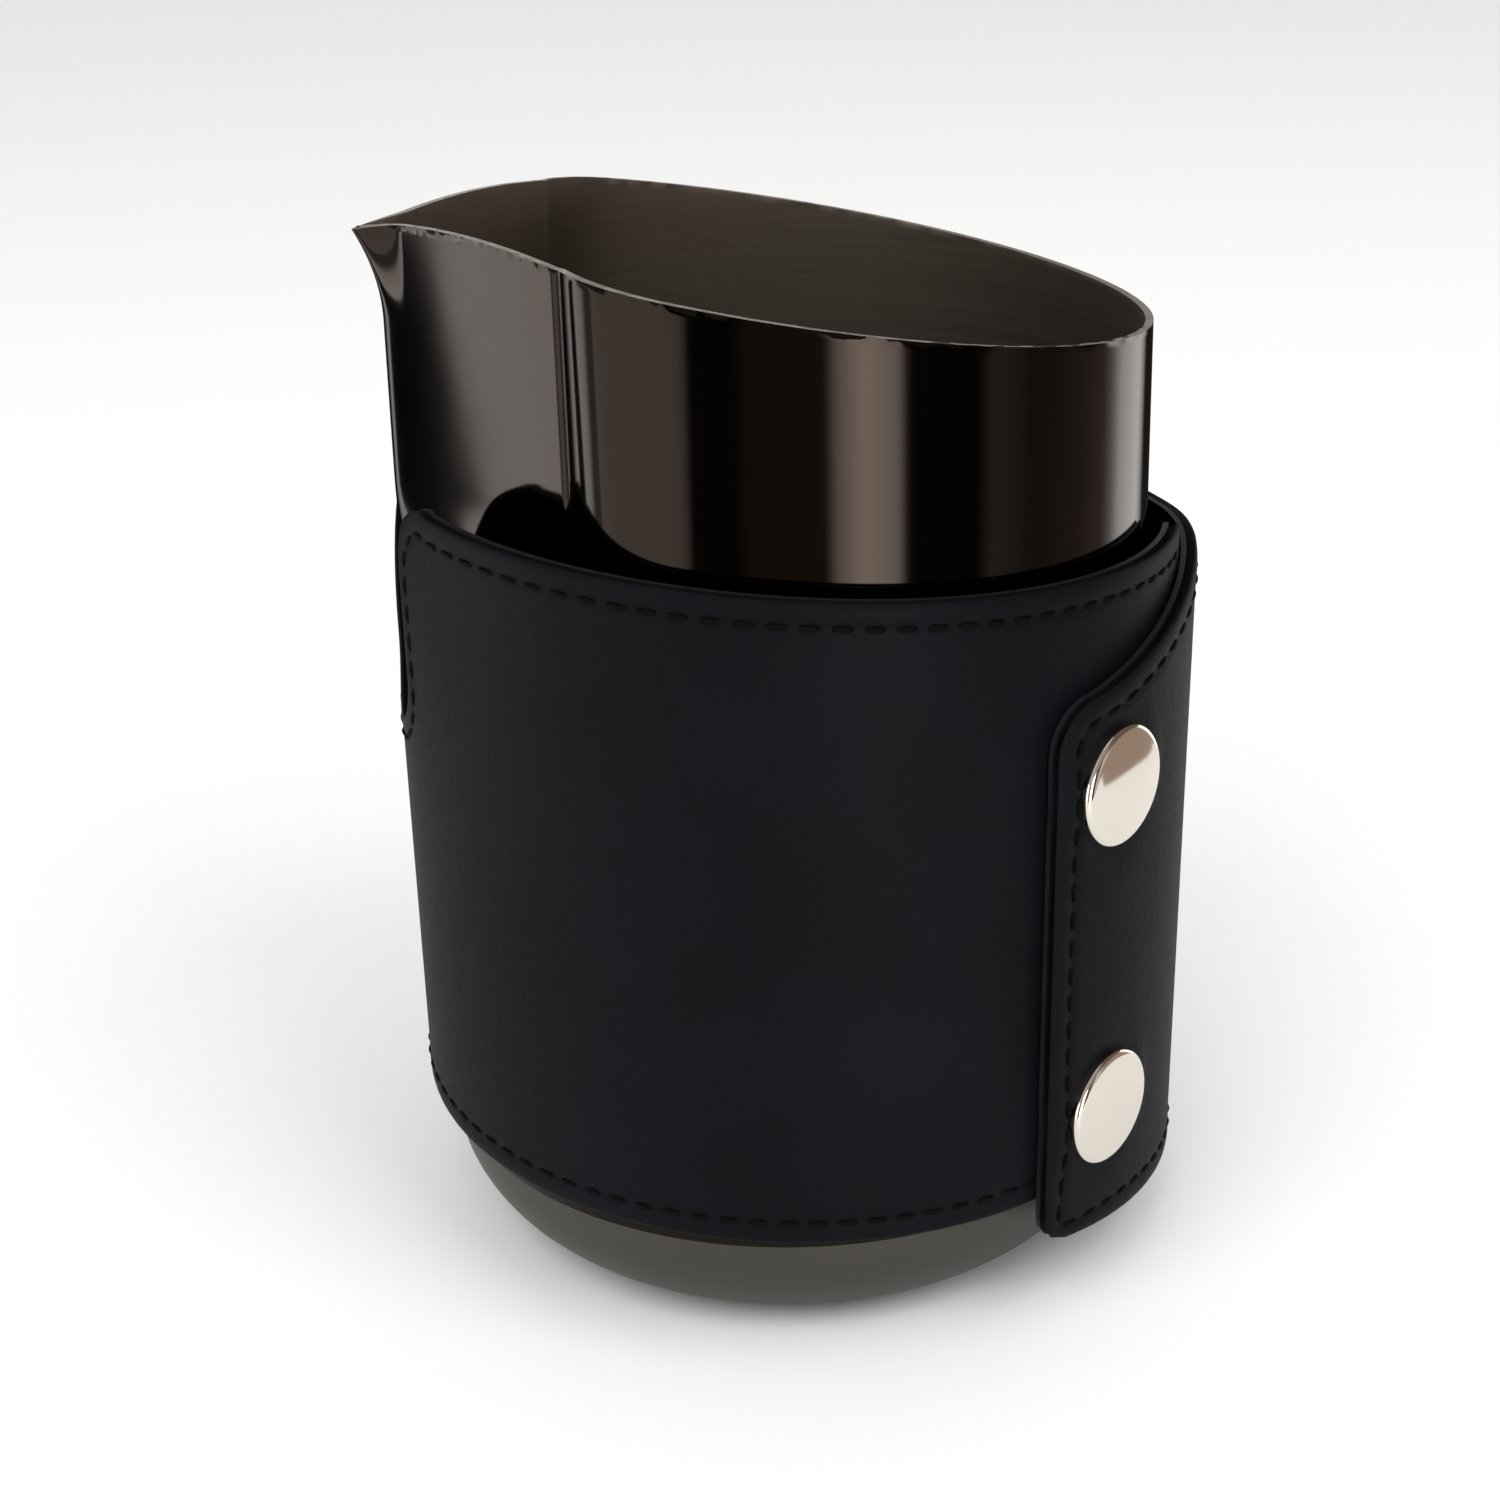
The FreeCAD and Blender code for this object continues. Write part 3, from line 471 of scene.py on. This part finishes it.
# distance in from the cut edge, and how far the face stands above or below its plain level there
edgeRings = [
    (0.0, -0.28), (0.12, -0.12), (0.32, -0.02), (0.7, 0.05), (1.2, 0.08), (1.75, 0.04),
    (2.1, -0.07), (2.4, -0.13), (2.7, -0.07), (3.1, 0.02), (3.8, 0.0),
]
edgeRings = [(distance * mm, level * mm) for distance, level in edgeRings]

stripThick = strip["lining"] + strip["leather"]
outerFace = strip["innerFace"] + stripThick
lapOuter = outerFace + stripThick + strip["lapGap"]
perDegree = math.radians(1.0) * outerFace  # length of one degree along the strip


def alongAt(degrees):
    # length along the strip of an angle counted down from the hidden end
    return (strip["underlapEnd"] - degrees) * perDegree


def lapStep(degrees):
    start = strip["joggleStart"] - 360.0
    end = strip["joggleEnd"] - 360.0
    return (stripThick + strip["lapGap"]) * smoothStep((start - degrees) / (start - end))


snapHeights = ((capLow.z + capHigh.z) / 2, (lowCapLow.z + lowCapHigh.z) / 2)
capSeat = lapOuter - strip["capSink"]


def wrap(along, height, depth):
    # depth counts outwards from the strip's inner face; the leather is pressed flat round each snap
    degrees = strip["underlapEnd"] - along / perDegree
    radius = strip["innerFace"] + lapStep(degrees) + depth
    offAxis = math.radians(degrees + 360.0 - strip["snapAngle"])
    if degrees < -360.0:
        for snapHeight in snapHeights:
            side = radius * math.sin(offAxis)
            away = math.hypot(side, height - snapHeight)
            flat = (capSeat - stripThick + depth) / math.cos(offAxis)
            share = 1.0 - smoothStep((away - strip["snapFlat"]) / strip["snapFade"])
            radius += (flat - radius) * share
    return polar(radius, degrees, height)


def slopedHeight(line, degrees, radius):
    height, slope = line
    return height - slope * radius * math.cos(math.radians(degrees))


def evenPoints(points, count):
    # the same line again, with points spaced evenly along it
    lengths = [0.0]
    for first, second in zip(points, points[1:]):
        lengths.append(lengths[-1] + math.dist(first, second))
    result = []
    index = 0
    for step in range(count):
        target = lengths[-1] * step / (count - 1)
        while index < len(lengths) - 2 and lengths[index + 1] < target:
            index += 1
        span = lengths[index + 1] - lengths[index]
        share = (target - lengths[index]) / span if span else 0.0
        first, second = points[index], points[index + 1]
        result.append((first[0] + (second[0] - first[0]) * share, first[1] + (second[1] - first[1]) * share))
    return result


def arcPoints(middle, radius, start, end, steps):
    points = []
    for step in range(steps + 1):
        turn = math.radians(start + (end - start) * step / steps)
        points.append((middle[0] + radius * math.cos(turn), middle[1] + radius * math.sin(turn)))
    return points


def topLine():
    points = []
    notch = strip["notchAngle"] - 360.0
    middle = alongAt(notch)
    half, corner, farCorner = strip["notchHalf"], strip["notchCorner"], strip["notchFarCorner"]
    degrees = strip["underlapEnd"]
    while degrees > notch + (half + corner) / perDegree:
        points.append((alongAt(degrees), slopedHeight(strip["frontTop"], degrees, outerFace)))
        degrees -= 1.0
    top = slopedHeight(strip["frontTop"], notch, outerFace)
    points += arcPoints((middle - half - corner, top - corner), corner, 90, 0, 12)
    points += arcPoints((middle, strip["notchBottom"] + half), half, 180, 360, 28)
    points += arcPoints((middle + half + farCorner, top - farCorner), farCorner, 180, 90, 20)
    degrees = notch - (half + farCorner) / perDegree - 1.0
    while degrees > strip["riseStart"] - 360.0:
        points.append((alongAt(degrees), slopedHeight(strip["backTop"], degrees, outerFace)))
        degrees -= 1.0
    start = points[-1]
    end = (alongAt(strip["flapEnd"] - 360.0) - strip["flapCorner"], strip["shoulder"])
    for step in range(1, 31):
        share = step / 30
        drop = 0.5 * share ** 1.6 + 0.5 * smoothStep(share)
        points.append((start[0] + (end[0] - start[0]) * share, start[1] + (end[1] - start[1]) * drop))
    points += arcPoints((end[0], end[1] - strip["flapCorner"]), strip["flapCorner"], 90, 45, 6)[1:]
    return points


def bottomLine():
    points = []
    notch = strip["notchAngle"] - 360.0
    degrees = strip["underlapEnd"]
    while degrees > notch:
        points.append((alongAt(degrees), slopedHeight(strip["frontBottom"], degrees, outerFace)))
        degrees -= 1.0
    while degrees > -380.0:
        points.append((alongAt(degrees), slopedHeight(strip["backBottom"], degrees, lapOuter)))
        degrees -= 1.0
    start = points[-1]
    end = (alongAt(strip["flapEnd"] - 360.0) - strip["footCorner"], strip["foot"])
    for step in range(1, 21):
        share = step / 20
        points.append((start[0] + (end[0] - start[0]) * share,
                       start[1] + (end[1] - start[1]) * share ** 1.15))
    points += arcPoints((end[0], end[1] + strip["footCorner"]), strip["footCorner"], -90, -45, 5)[1:]
    return points


def endLine():
    # the flap's cut end, between the middles of its two round corners
    end = alongAt(strip["flapEnd"] - 360.0)
    high = arcPoints((end - strip["flapCorner"], strip["shoulder"] - strip["flapCorner"]),
                     strip["flapCorner"], 0, 45, 6)
    low = arcPoints((end - strip["footCorner"], strip["foot"] + strip["footCorner"]),
                    strip["footCorner"], -45, 0, 5)
    return low + high


def inwardNormals(points, sign):
    normals = []
    for index in range(len(points)):
        before = points[max(index - 1, 0)]
        after = points[min(index + 1, len(points) - 1)]
        length = math.dist(before, after)
        normals.append((sign * (after[1] - before[1]) / length, -sign * (after[0] - before[0]) / length))
    return normals


def evenNormals(normals, reach):
    result = []
    for index in range(len(normals)):
        span = min(reach, index, len(normals) - 1 - index)
        near = normals[index - span:index + span + 1]
        across, up = sum(normal[0] for normal in near), sum(normal[1] for normal in near)
        length = math.hypot(across, up)
        result.append((across / length, up / length))
    return result


def leanAway(values, reach, first, last):
    # averages that lag before the notch and lead after it, so that no column leans into it
    result = []
    end = len(values) - 1
    for index in range(len(values)):
        share = min(max((index - first) / (last - first), 0.0), 1.0)
        behind = reach * (1.0 - share) if index < last else min(reach, index - last)
        ahead = reach * share if index > first else min(reach, first - index)
        behind = min(round(behind), index, end - index)
        ahead = min(round(ahead), index, end - index)
        part = values[index - behind:index + ahead + 1]
        result.append(sum(part) / len(part))
    return result


columns, rows = strip["columns"], strip["rows"]
topPoints = evenPoints(topLine(), columns + 1)
lowCurve = bottomLine()


def lowPointAt(along):
    for first, second in zip(lowCurve, lowCurve[1:]):
        if first[0] <= along <= second[0]:
            share = (along - first[0]) / (second[0] - first[0])
            return (along, first[1] + (second[1] - first[1]) * share)
    return lowCurve[-1]


topNormals = evenNormals(inwardNormals(topPoints, 1), 2)
notchFloor = strip["notchBottom"] + strip["notchHalf"] * 0.9
notchColumns = [index for index, point in enumerate(topPoints)
                if point[1] < notchFloor and point[0] < alongAt(strip["riseStart"] - 360.0)]
innerAlongs = [point[0] + normal[0] * edgeRings[-1][0] for point, normal in zip(topPoints, topNormals)]
innerAlongs[0] = topPoints[0][0]
innerAlongs[-1] = topPoints[-1][0]
lowAlongs = leanAway(innerAlongs, strip["leanColumns"], notchColumns[0], notchColumns[-1])
stretch = lowCurve[-1][0] / lowAlongs[-1]
lowPoints = [lowPointAt(along * stretch) for along in lowAlongs]
rightPoints = evenPoints(endLine(), rows + 1)
leftPoints = [(0.0, lowPoints[0][1] + (topPoints[0][1] - lowPoints[0][1]) * step / rows)
              for step in range(rows + 1)]

lowNormals = inwardNormals(lowPoints, -1)
rightNormals = inwardNormals(rightPoints, -1)
leftNormals = [(1.0, 0.0)] * (rows + 1)
diagonal = math.sqrt(0.5)
for normals, index, corner in (
    (topNormals, columns, (-diagonal, -diagonal)), (rightNormals, rows, (-diagonal, -diagonal)),
    (lowNormals, columns, (-diagonal, diagonal)), (rightNormals, 0, (-diagonal, diagonal)),
):
    normals[index] = corner


def endShare(index, count):
    return max(1.0 - index / count, 0.0)


def inset(points, normals, index, distance):
    # square corners of the hidden end draw their neighbours in; round corners of the flap pinch the rings
    point, normal = points[index], normals[index]
    last = len(points) - 1
    slide = (0.0, 0.0)
    if points is leftPoints:
        slide = (0.0, endShare(index, strip["squareRows"]) - endShare(last - index, strip["squareRows"]))
        if index in (0, last):
            normal = (1.0, 0.0)
    elif points is rightPoints:
        distance *= 1.0 - strip["footPinch"] * smoothStep(endShare(index, strip["footRows"]))
    else:
        slide = (endShare(index, strip["squareColumns"]), 0.0)
        if index == 0:
            normal = (0.0, -1.0 if points is topPoints else 1.0)
        if points is lowPoints:
            distance *= 1.0 - strip["footPinch"] * smoothStep(endShare(last - index, strip["footColumns"]))
    return (point[0] + (normal[0] + slide[0]) * distance, point[1] + (normal[1] + slide[1]) * distance)


def flatPlace(gridX, gridY):
    # place on the flat strip, and the face's level there, for a grid position; beyond 1 are the edge rings
    reach = max(abs(gridX), abs(gridY))
    ring = 0
    if reach > 1.0 + 1e-4:
        ring = round((reach - 1.0) / ringStep)
        gridX, gridY = gridX / reach, gridY / reach
    distance, level = edgeRings[len(edgeRings) - 1 - ring]
    column = (gridX + 1.0) / 2 * columns
    row = (gridY + 1.0) / 2 * rows
    deepest = edgeRings[-1][0]
    if reach > 1.0 - 1e-4:
        if abs(gridY) >= abs(gridX) - 1e-6 and gridY > 0:
            place = inset(topPoints, topNormals, round(column), distance)
        elif abs(gridY) >= abs(gridX) - 1e-6:
            place = inset(lowPoints, lowNormals, round(column), distance)
        elif gridX > 0:
            place = inset(rightPoints, rightNormals, round(row), distance)
        else:
            place = inset(leftPoints, leftNormals, round(row), distance)
        return place, level
    columnIndex, rowIndex = round(column), round(row)
    across, up = column / columns, row / rows
    top = inset(topPoints, topNormals, columnIndex, deepest)
    low = inset(lowPoints, lowNormals, columnIndex, deepest)
    left = inset(leftPoints, leftNormals, rowIndex, deepest)
    right = inset(rightPoints, rightNormals, rowIndex, deepest)
    lowLeft = inset(lowPoints, lowNormals, 0, deepest)
    lowRight = inset(lowPoints, lowNormals, columns, deepest)
    topLeft = inset(topPoints, topNormals, 0, deepest)
    topRight = inset(topPoints, topNormals, columns, deepest)
    # straight between top and bottom, drawn to the ends' own shape close to them
    nearLeft, nearRight = (1.0 - across) ** strip["endPull"], across ** strip["endPull"]
    place = []
    for axis in (0, 1):
        value = (1 - up) * low[axis] + up * top[axis]
        value += nearLeft * (left[axis] - (1 - up) * lowLeft[axis] - up * topLeft[axis])
        value += nearRight * (right[axis] - (1 - up) * lowRight[axis] - up * topRight[axis])
        place.append(value)
    return place, 0.0


def buildStrip(name, low, high, faceLevels):
    # a grid for the middle, rings drawn out round it for the edge, then wrapped round the cup at the face's
    # level
    bpy.ops.object.select_all(action="DESELECT")
    bpy.ops.mesh.primitive_grid_add(x_subdivisions=columns, y_subdivisions=rows, size=2.0)
    piece = named(name)
    bpy.ops.object.mode_set(mode="EDIT")
    bpy.ops.mesh.select_mode(type="EDGE")
    bpy.ops.mesh.select_all(action="SELECT")
    bpy.ops.mesh.region_to_loop()
    for ring in range(1, len(edgeRings)):
        bpy.ops.mesh.extrude_edges_move()
        size = (1.0 + ringStep * ring) / (1.0 + ringStep * (ring - 1))
        bpy.ops.transform.resize(value=(size, size, 1.0), center_override=(0, 0, 0))
    bpy.ops.object.mode_set(mode="OBJECT")
    for vertex in piece.data.vertices:
        place, level = flatPlace(vertex.co.x, vertex.co.y)
        vertex.co = wrap(place[0], place[1], high + level * faceLevels)
    selectOnly(piece)
    bpy.ops.object.mode_set(mode="EDIT")
    bpy.ops.mesh.select_all(action="SELECT")
    bpy.ops.mesh.normals_make_consistent(inside=False)
    bpy.ops.object.mode_set(mode="OBJECT")
    return piece


def splitAtBend(piece, flapName, lapLevel):
    # the stretch that swings with the flap, which lies outside lapLevel, becomes a piece of its own
    selectOnly(piece)
    bpy.ops.object.mode_set(mode="EDIT")
    bpy.ops.mesh.select_mode(type="FACE")
    bpy.ops.mesh.select_all(action="DESELECT")
    bm = bmesh.from_edit_mesh(piece.data)
    for face in bm.faces:
        middle = face.calc_center_median()
        angle = math.degrees(math.atan2(middle.y, middle.x))
        radius = math.hypot(middle.x, middle.y)
        if strip["flapEnd"] - 5.0 < angle < strip["splitAngle"]:
            face.select = radius > lapLevel
    bmesh.update_edit_mesh(piece.data)
    bpy.ops.mesh.separate(type="SELECTED")
    bpy.ops.object.mode_set(mode="OBJECT")
    flap = [thing for thing in bpy.context.selected_objects if thing != piece][0]
    flap.name = flapName
    flap.data.name = flapName
    return flap


def finishStrip(piece, thick, face, edge):
    giveMaterials(piece, face, edge)
    applyModifier(piece, "SOLIDIFY", thickness=thick, offset=-1.0, material_offset_rim=1)
    smooth(piece, 35)


layers = (
    ("leather", strip["lining"], stripThick, 1.0, faceLeather, "navy_leather"),
    ("lining", 0.0, strip["lining"] - 0.02 * mm, 0.0, liningLeather, "lining_leather"),
)
for layer, low, high, faceLevels, leather, slot in layers:
    sleeve = buildStrip("sleeve_" + layer + "_strip", low, high, faceLevels)
    lapLevel = strip["innerFace"] + high + (stripThick + strip["lapGap"]) * 0.1
    flap = splitAtBend(sleeve, "flap_" + layer + "_strip", lapLevel)
    for piece in (sleeve, flap):
        finishStrip(piece, high - low, leather, edgePaint)
    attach(sleeve, "sleeve")
    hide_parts("sleeve_" + layer)
    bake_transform(flap)
    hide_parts("flap_" + layer)


print("stitches")
stitch = {
    "pitch": 3.0 * mm,
    "length": 2.5 * mm,
    "radius": 0.3 * mm,
    "inset": 2.4 * mm,
    "sink": 0.24 * mm,
}


def oneStitch():
    # a short length of thread whose ends dive into the leather
    bpy.ops.object.select_all(action="DESELECT")
    bpy.ops.mesh.primitive_cylinder_add(vertices=8, radius=stitch["radius"], depth=stitch["length"],
                                        rotation=(0, math.pi / 2, 0))
    piece = named("one_stitch")
    bpy.ops.object.transform_apply(location=True, rotation=True, scale=True)
    bpy.ops.object.mode_set(mode="EDIT")
    bpy.ops.mesh.select_mode(type="EDGE")
    bpy.ops.mesh.select_all(action="DESELECT")
    bm = bmesh.from_edit_mesh(piece.data)
    for edge in bm.edges:
        edge.select = abs(edge.verts[0].co.x - edge.verts[1].co.x) > stitch["length"] / 2
    bmesh.update_edit_mesh(piece.data)
    bpy.ops.mesh.subdivide(number_cuts=5)
    bm = bmesh.from_edit_mesh(piece.data)
    for vertex in bm.verts:
        share = abs(vertex.co.x) / (stitch["length"] / 2)
        thin = math.sqrt(max(1.0 - share ** 4, 0.0)) * 0.75 + 0.25
        vertex.co.y *= thin
        vertex.co.z = vertex.co.z * thin - stitch["radius"] * 1.1 * share ** 3
    bmesh.update_edit_mesh(piece.data)
    bpy.ops.object.mode_set(mode="OBJECT")
    return piece


def rowPlaces(points, normals):
    # even places along a row that runs beside an edge
    line = [inset(points, normals, index, stitch["inset"]) for index in range(len(points))]
    length = sum(math.dist(first, second) for first, second in zip(line, line[1:]))
    count = max(int(length / stitch["pitch"]), 2)
    even = evenPoints(line, 2 * count + 1)
    return [(even[index - 1], even[index], even[index + 1]) for index in range(1, 2 * count, 2)]


def sewRow(places, template, keepPlace):
    copies = []
    for before, middle, after in places:
        degrees = strip["underlapEnd"] - middle[0] / perDegree
        if not keepPlace(degrees):
            continue
        depth = stripThick - stitch["sink"] + stitch["radius"] * 0.55
        first = wrap(before[0], before[1], depth)
        last = wrap(after[0], after[1], depth)
        centre = wrap(middle[0], middle[1], depth)
        out = (wrap(middle[0], middle[1], depth + mm) - centre).normalized()
        along = (last - first).normalized()
        side = out.cross(along).normalized()
        out = along.cross(side)
        turn = Matrix((along, side, out)).transposed().to_4x4()
        mesh = template.data.copy()
        mesh.transform(Matrix.Translation(centre) @ turn)
        copy = bpy.data.objects.new("stitch", mesh)
        bpy.context.scene.collection.objects.link(copy)
        copies.append(copy)
    return copies


def joinPieces(copies, name):
    bpy.ops.object.select_all(action="DESELECT")
    for copy in copies:
        copy.select_set(True)
    bpy.context.view_layer.objects.active = copies[0]
    bpy.ops.object.join()
    piece = named(name)
    giveMaterials(piece, blackThread)
    smooth(piece, 60)
    return piece


template = oneStitch()
sewn = [
    rowPlaces(topPoints, topNormals), rowPlaces(lowPoints, lowNormals),
    rowPlaces(rightPoints, rightNormals), rowPlaces(leftPoints, leftNormals),
]
splitUnwrapped = strip["splitAngle"] - 360.0
sleeveCopies, flapCopies = [], []
for places in sewn:
    sleeveCopies += sewRow(places, template, lambda degrees: degrees > splitUnwrapped)
    flapCopies += sewRow(places, template, lambda degrees: degrees <= splitUnwrapped)
bpy.data.objects.remove(template)
sleeveStitches = joinPieces(sleeveCopies, "sleeve_stitches")
flapStitches = joinPieces(flapCopies, "flap_stitches")
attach(sleeveStitches, "sleeve")
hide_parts("sleeve_stitching")
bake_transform(flapStitches)
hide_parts("flap_stitching")


print("snaps")
snap = {
    "capRadius": 6.25 * mm,
    "capHeight": 1.65 * mm,
    "rimHeight": 0.55 * mm,
    "crown": 0.5 * mm,
    "dish": 5.3 * mm,
    "crownRings": 6,
}


def buildCap(name, height):
    # a disc drawn into a shallow cap: a round shoulder, then a face that is crowned a little
    bpy.ops.object.select_all(action="DESELECT")
    bpy.ops.mesh.primitive_circle_add(vertices=96, radius=snap["capRadius"], fill_type="NGON")
    piece = named(name)
    bpy.ops.object.mode_set(mode="EDIT")
    bpy.ops.mesh.select_mode(type="FACE")
    bpy.ops.mesh.select_all(action="SELECT")
    bpy.ops.mesh.extrude_region_move(TRANSFORM_OT_translate={"value": (0, 0, snap["rimHeight"])})
    shoulder = snap["capRadius"] - snap["dish"]
    rise = snap["capHeight"] - snap["crown"] - snap["rimHeight"]
    turned = 0.0
    for step in range(1, 9):
        turn = math.radians(90.0 * step / 8)
        moved = shoulder * (1.0 - math.cos(turn))
        lift = rise * (math.sin(turn) - math.sin(turned))
        bpy.ops.mesh.inset(thickness=moved - shoulder * (1.0 - math.cos(turned)))
        bpy.ops.transform.translate(value=(0, 0, lift))
        turned = turn
    rings = snap["crownRings"]
    for step in range(rings):
        bpy.ops.mesh.inset(thickness=snap["dish"] / (rings + 0.5))
        bpy.ops.transform.translate(value=(0, 0, snap["crown"] * (2 * (rings - step) - 1) / rings ** 2))
    bpy.ops.mesh.poke()
    bpy.ops.mesh.select_all(action="SELECT")
    bpy.ops.mesh.normals_make_consistent(inside=False)
    bpy.ops.object.mode_set(mode="OBJECT")
    turn = Matrix.Rotation(math.radians(strip["snapAngle"]), 4, "Z") @ Matrix.Rotation(math.pi / 2, 4, "Y")
    place = polar(capSeat, strip["snapAngle"], height)
    piece.data.transform(Matrix.Translation(place) @ turn)
    giveMaterials(piece, nickel)
    smooth(piece, 50)
    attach(piece, "flap")
    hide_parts(name.replace("_dome", ""))


for prefix, height in zip(("upper", "lower"), snapHeights):
    buildCap(prefix + "_snap_cap_dome", height)
    for kind in ("socket", "stud", "eyelet"):
        giveMaterials(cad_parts[prefix + "_snap_" + kind], nickel)
    giveMaterials(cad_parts[prefix + "_snap_spring"], springWire)


print("floor, light and camera")
studio = {
    "floorSize": 6.0,
    "worldStrength": 0.85,
    "reflectorRadius": 0.21,
    "reflectorSplit": 0.105,     # the low ring ends and the high one begins
    "flagRadius": 0.2,
}
bpy.ops.object.select_all(action="DESELECT")
bpy.ops.mesh.primitive_plane_add(size=studio["floorSize"])
floor = named("floor")
floorMaterial, _, floorShader = newMaterial("pale matt paper")
floorShader.inputs["Base Color"].default_value = hexColour("efefee")
floorShader.inputs["Roughness"].default_value = 0.7
giveMaterials(floor, floorMaterial)

world = bpy.data.worlds.new("studio")
bpy.context.scene.world = world
world.use_nodes = True
world.node_tree.nodes["Background"].inputs["Color"].default_value = hexColour("ffffff")
world.node_tree.nodes["Background"].inputs["Strength"].default_value = studio["worldStrength"]


def softLight(name, azimuth, distance, height, aimHeight, width, tall, radiance):
    # a soft box that faces the object; azimuth 0 is in front, on the -Y side, and grows to the right
    data = bpy.data.lights.new(name, "AREA")
    data.shape = "RECTANGLE"
    data.size = width
    data.size_y = tall
    data.energy = radiance * math.pi * width * tall
    light = bpy.data.objects.new(name, data)
    bpy.context.scene.collection.objects.link(light)
    place = polar(distance, azimuth - 90.0, height)
    light.location = place
    aim = Vector((0, 0, aimHeight)) - place
    light.rotation_euler = aim.to_track_quat("-Z", "Y").to_euler()


softLight("key right", 42.0, 0.9, 1.0, 0.05, 0.8, 0.8, 3.4)
softLight("key left", -40.0, 0.9, 1.0, 0.05, 0.8, 0.8, 3.4)


def hideFromCamera(piece):
    # the piece shows in mirror images only
    piece.visible_camera = False
    piece.visible_diffuse = False
    piece.visible_shadow = False
    piece.visible_transmission = False


def reflector(name, low, high, stops):
    # a ring round the set that only mirrors see; stops say how bright it is at an azimuth from the front
    bpy.ops.object.select_all(action="DESELECT")
    bpy.ops.mesh.primitive_cylinder_add(vertices=96, radius=studio["reflectorRadius"], depth=high - low,
                                        end_fill_type="NOTHING", location=(0, 0, (low + high) / 2))
    piece = named(name)
    material = bpy.data.materials.new(name)
    material.use_nodes = True
    tree = material.node_tree
    tree.nodes.clear()
    place = addNode(tree, "ShaderNodeTexCoord")
    turn = addNode(tree, "ShaderNodeTexGradient", {"gradient_type": "RADIAL"}, Vector=place.outputs["Object"])
    ramp = addNode(tree, "ShaderNodeValToRGB", Fac=turn.outputs["Fac"])
    brightest = max(level for azimuth, level in stops)
    places = sorted((((azimuth + 90.0) % 360.0) / 360.0, level / brightest) for azimuth, level in stops)
    points = ramp.color_ramp.elements
    while len(points) < len(places):
        points.new(0.5)
    for point, (position, level) in zip(points, places):
        point.position = position
        warm = 0.62 if level * brightest < 0.5 else 0.92  # dim parts of a room are browner
        point.color = (level, level * warm ** 0.6, level * warm, 1.0)
    glow = addNode(tree, "ShaderNodeEmission", {"Strength": brightest}, Color=ramp.outputs["Color"])
    addNode(tree, "ShaderNodeOutputMaterial", Surface=glow.outputs["Emission"])
    giveMaterials(piece, material)
    hideFromCamera(piece)


def keelFlag():
    # a black card that the spout's ridge mirrors: wide at the floor and narrow at the top
    bpy.ops.object.select_all(action="DESELECT")
    bpy.ops.mesh.primitive_plane_add(size=0.02)
    piece = named("keel flag")
    corners = ((-113.0, 0.001), (-103.5, 0.001), (-113.0, 0.085), (-108.5, 0.085))
    for vertex, (azimuth, height) in zip(piece.data.vertices, corners):
        vertex.co = polar(studio["flagRadius"], azimuth - 90.0, height)
    material, tree, shader = newMaterial("flag cloth")
    shader.inputs["Base Color"].default_value = (0.0, 0.0, 0.0, 1.0)
    shader.inputs["Specular IOR Level"].default_value = 0.0
    giveMaterials(piece, material)
    hideFromCamera(piece)


keelFlag()
reflector("low reflector", 0.002, studio["reflectorSplit"], (
    (-178, 0.02), (-120, 0.02), (-113, 4.0), (-99.5, 4.0), (-96.0, 0.7), (-92, 0.9), (-76, 2.6), (-40, 3.0),
    (-33, 2.4), (-31, 0.1), (-19, 0.1), (-16, 0.4), (5, 0.4), (8, 5.0), (15, 10.0), (24, 7.0), (27, 0.1),
    (48, 0.1), (53, 0.9), (60, 0.6), (66, 0.4), (98, 0.4), (103, 0.9), (109, 2.2), (124, 1.6), (132, 0.02),
    (178, 0.02),
))
reflector("high reflector", studio["reflectorSplit"], 0.7, (
    (-178, 0.6), (-60, 0.6), (-20, 0.5), (40, 0.35), (60, 0.16), (120, 0.16), (178, 0.6),
))

view = {
    "azimuth": -6.0,
    "elevation": 22.585,
    "distance": 261.4 * mm,
    "lens": 56.6,
    "aimSide": -4.03 * mm,
    "aimHeight": 52.18 * mm,
    "roll": -1.363,
}


def placeCamera():
    azimuth, elevation, roll = (math.radians(view[key]) for key in ("azimuth", "elevation", "roll"))
    back = Vector((math.sin(azimuth) * math.cos(elevation), -math.cos(azimuth) * math.cos(elevation),
                   math.sin(elevation)))
    right = Vector((math.cos(azimuth), math.sin(azimuth), 0.0))
    up = back.cross(right)
    aim = right * view["aimSide"] + Vector((0, 0, view["aimHeight"]))
    across = math.cos(roll) * right + math.sin(roll) * up
    upright = -math.sin(roll) * right + math.cos(roll) * up
    data = bpy.data.cameras.new("camera")
    data.lens = view["lens"]
    data.sensor_width = 36.0
    data.clip_start = 0.01
    camera = bpy.data.objects.new("camera", data)
    bpy.context.scene.collection.objects.link(camera)
    turn = Matrix((across, upright, back)).transposed().to_4x4()
    camera.matrix_world = Matrix.Translation(aim + back * view["distance"]) @ turn
    bpy.context.scene.camera = camera


placeCamera()
bpy.context.scene.view_settings.view_transform = "Standard"

bpy.context.view_layer.update()
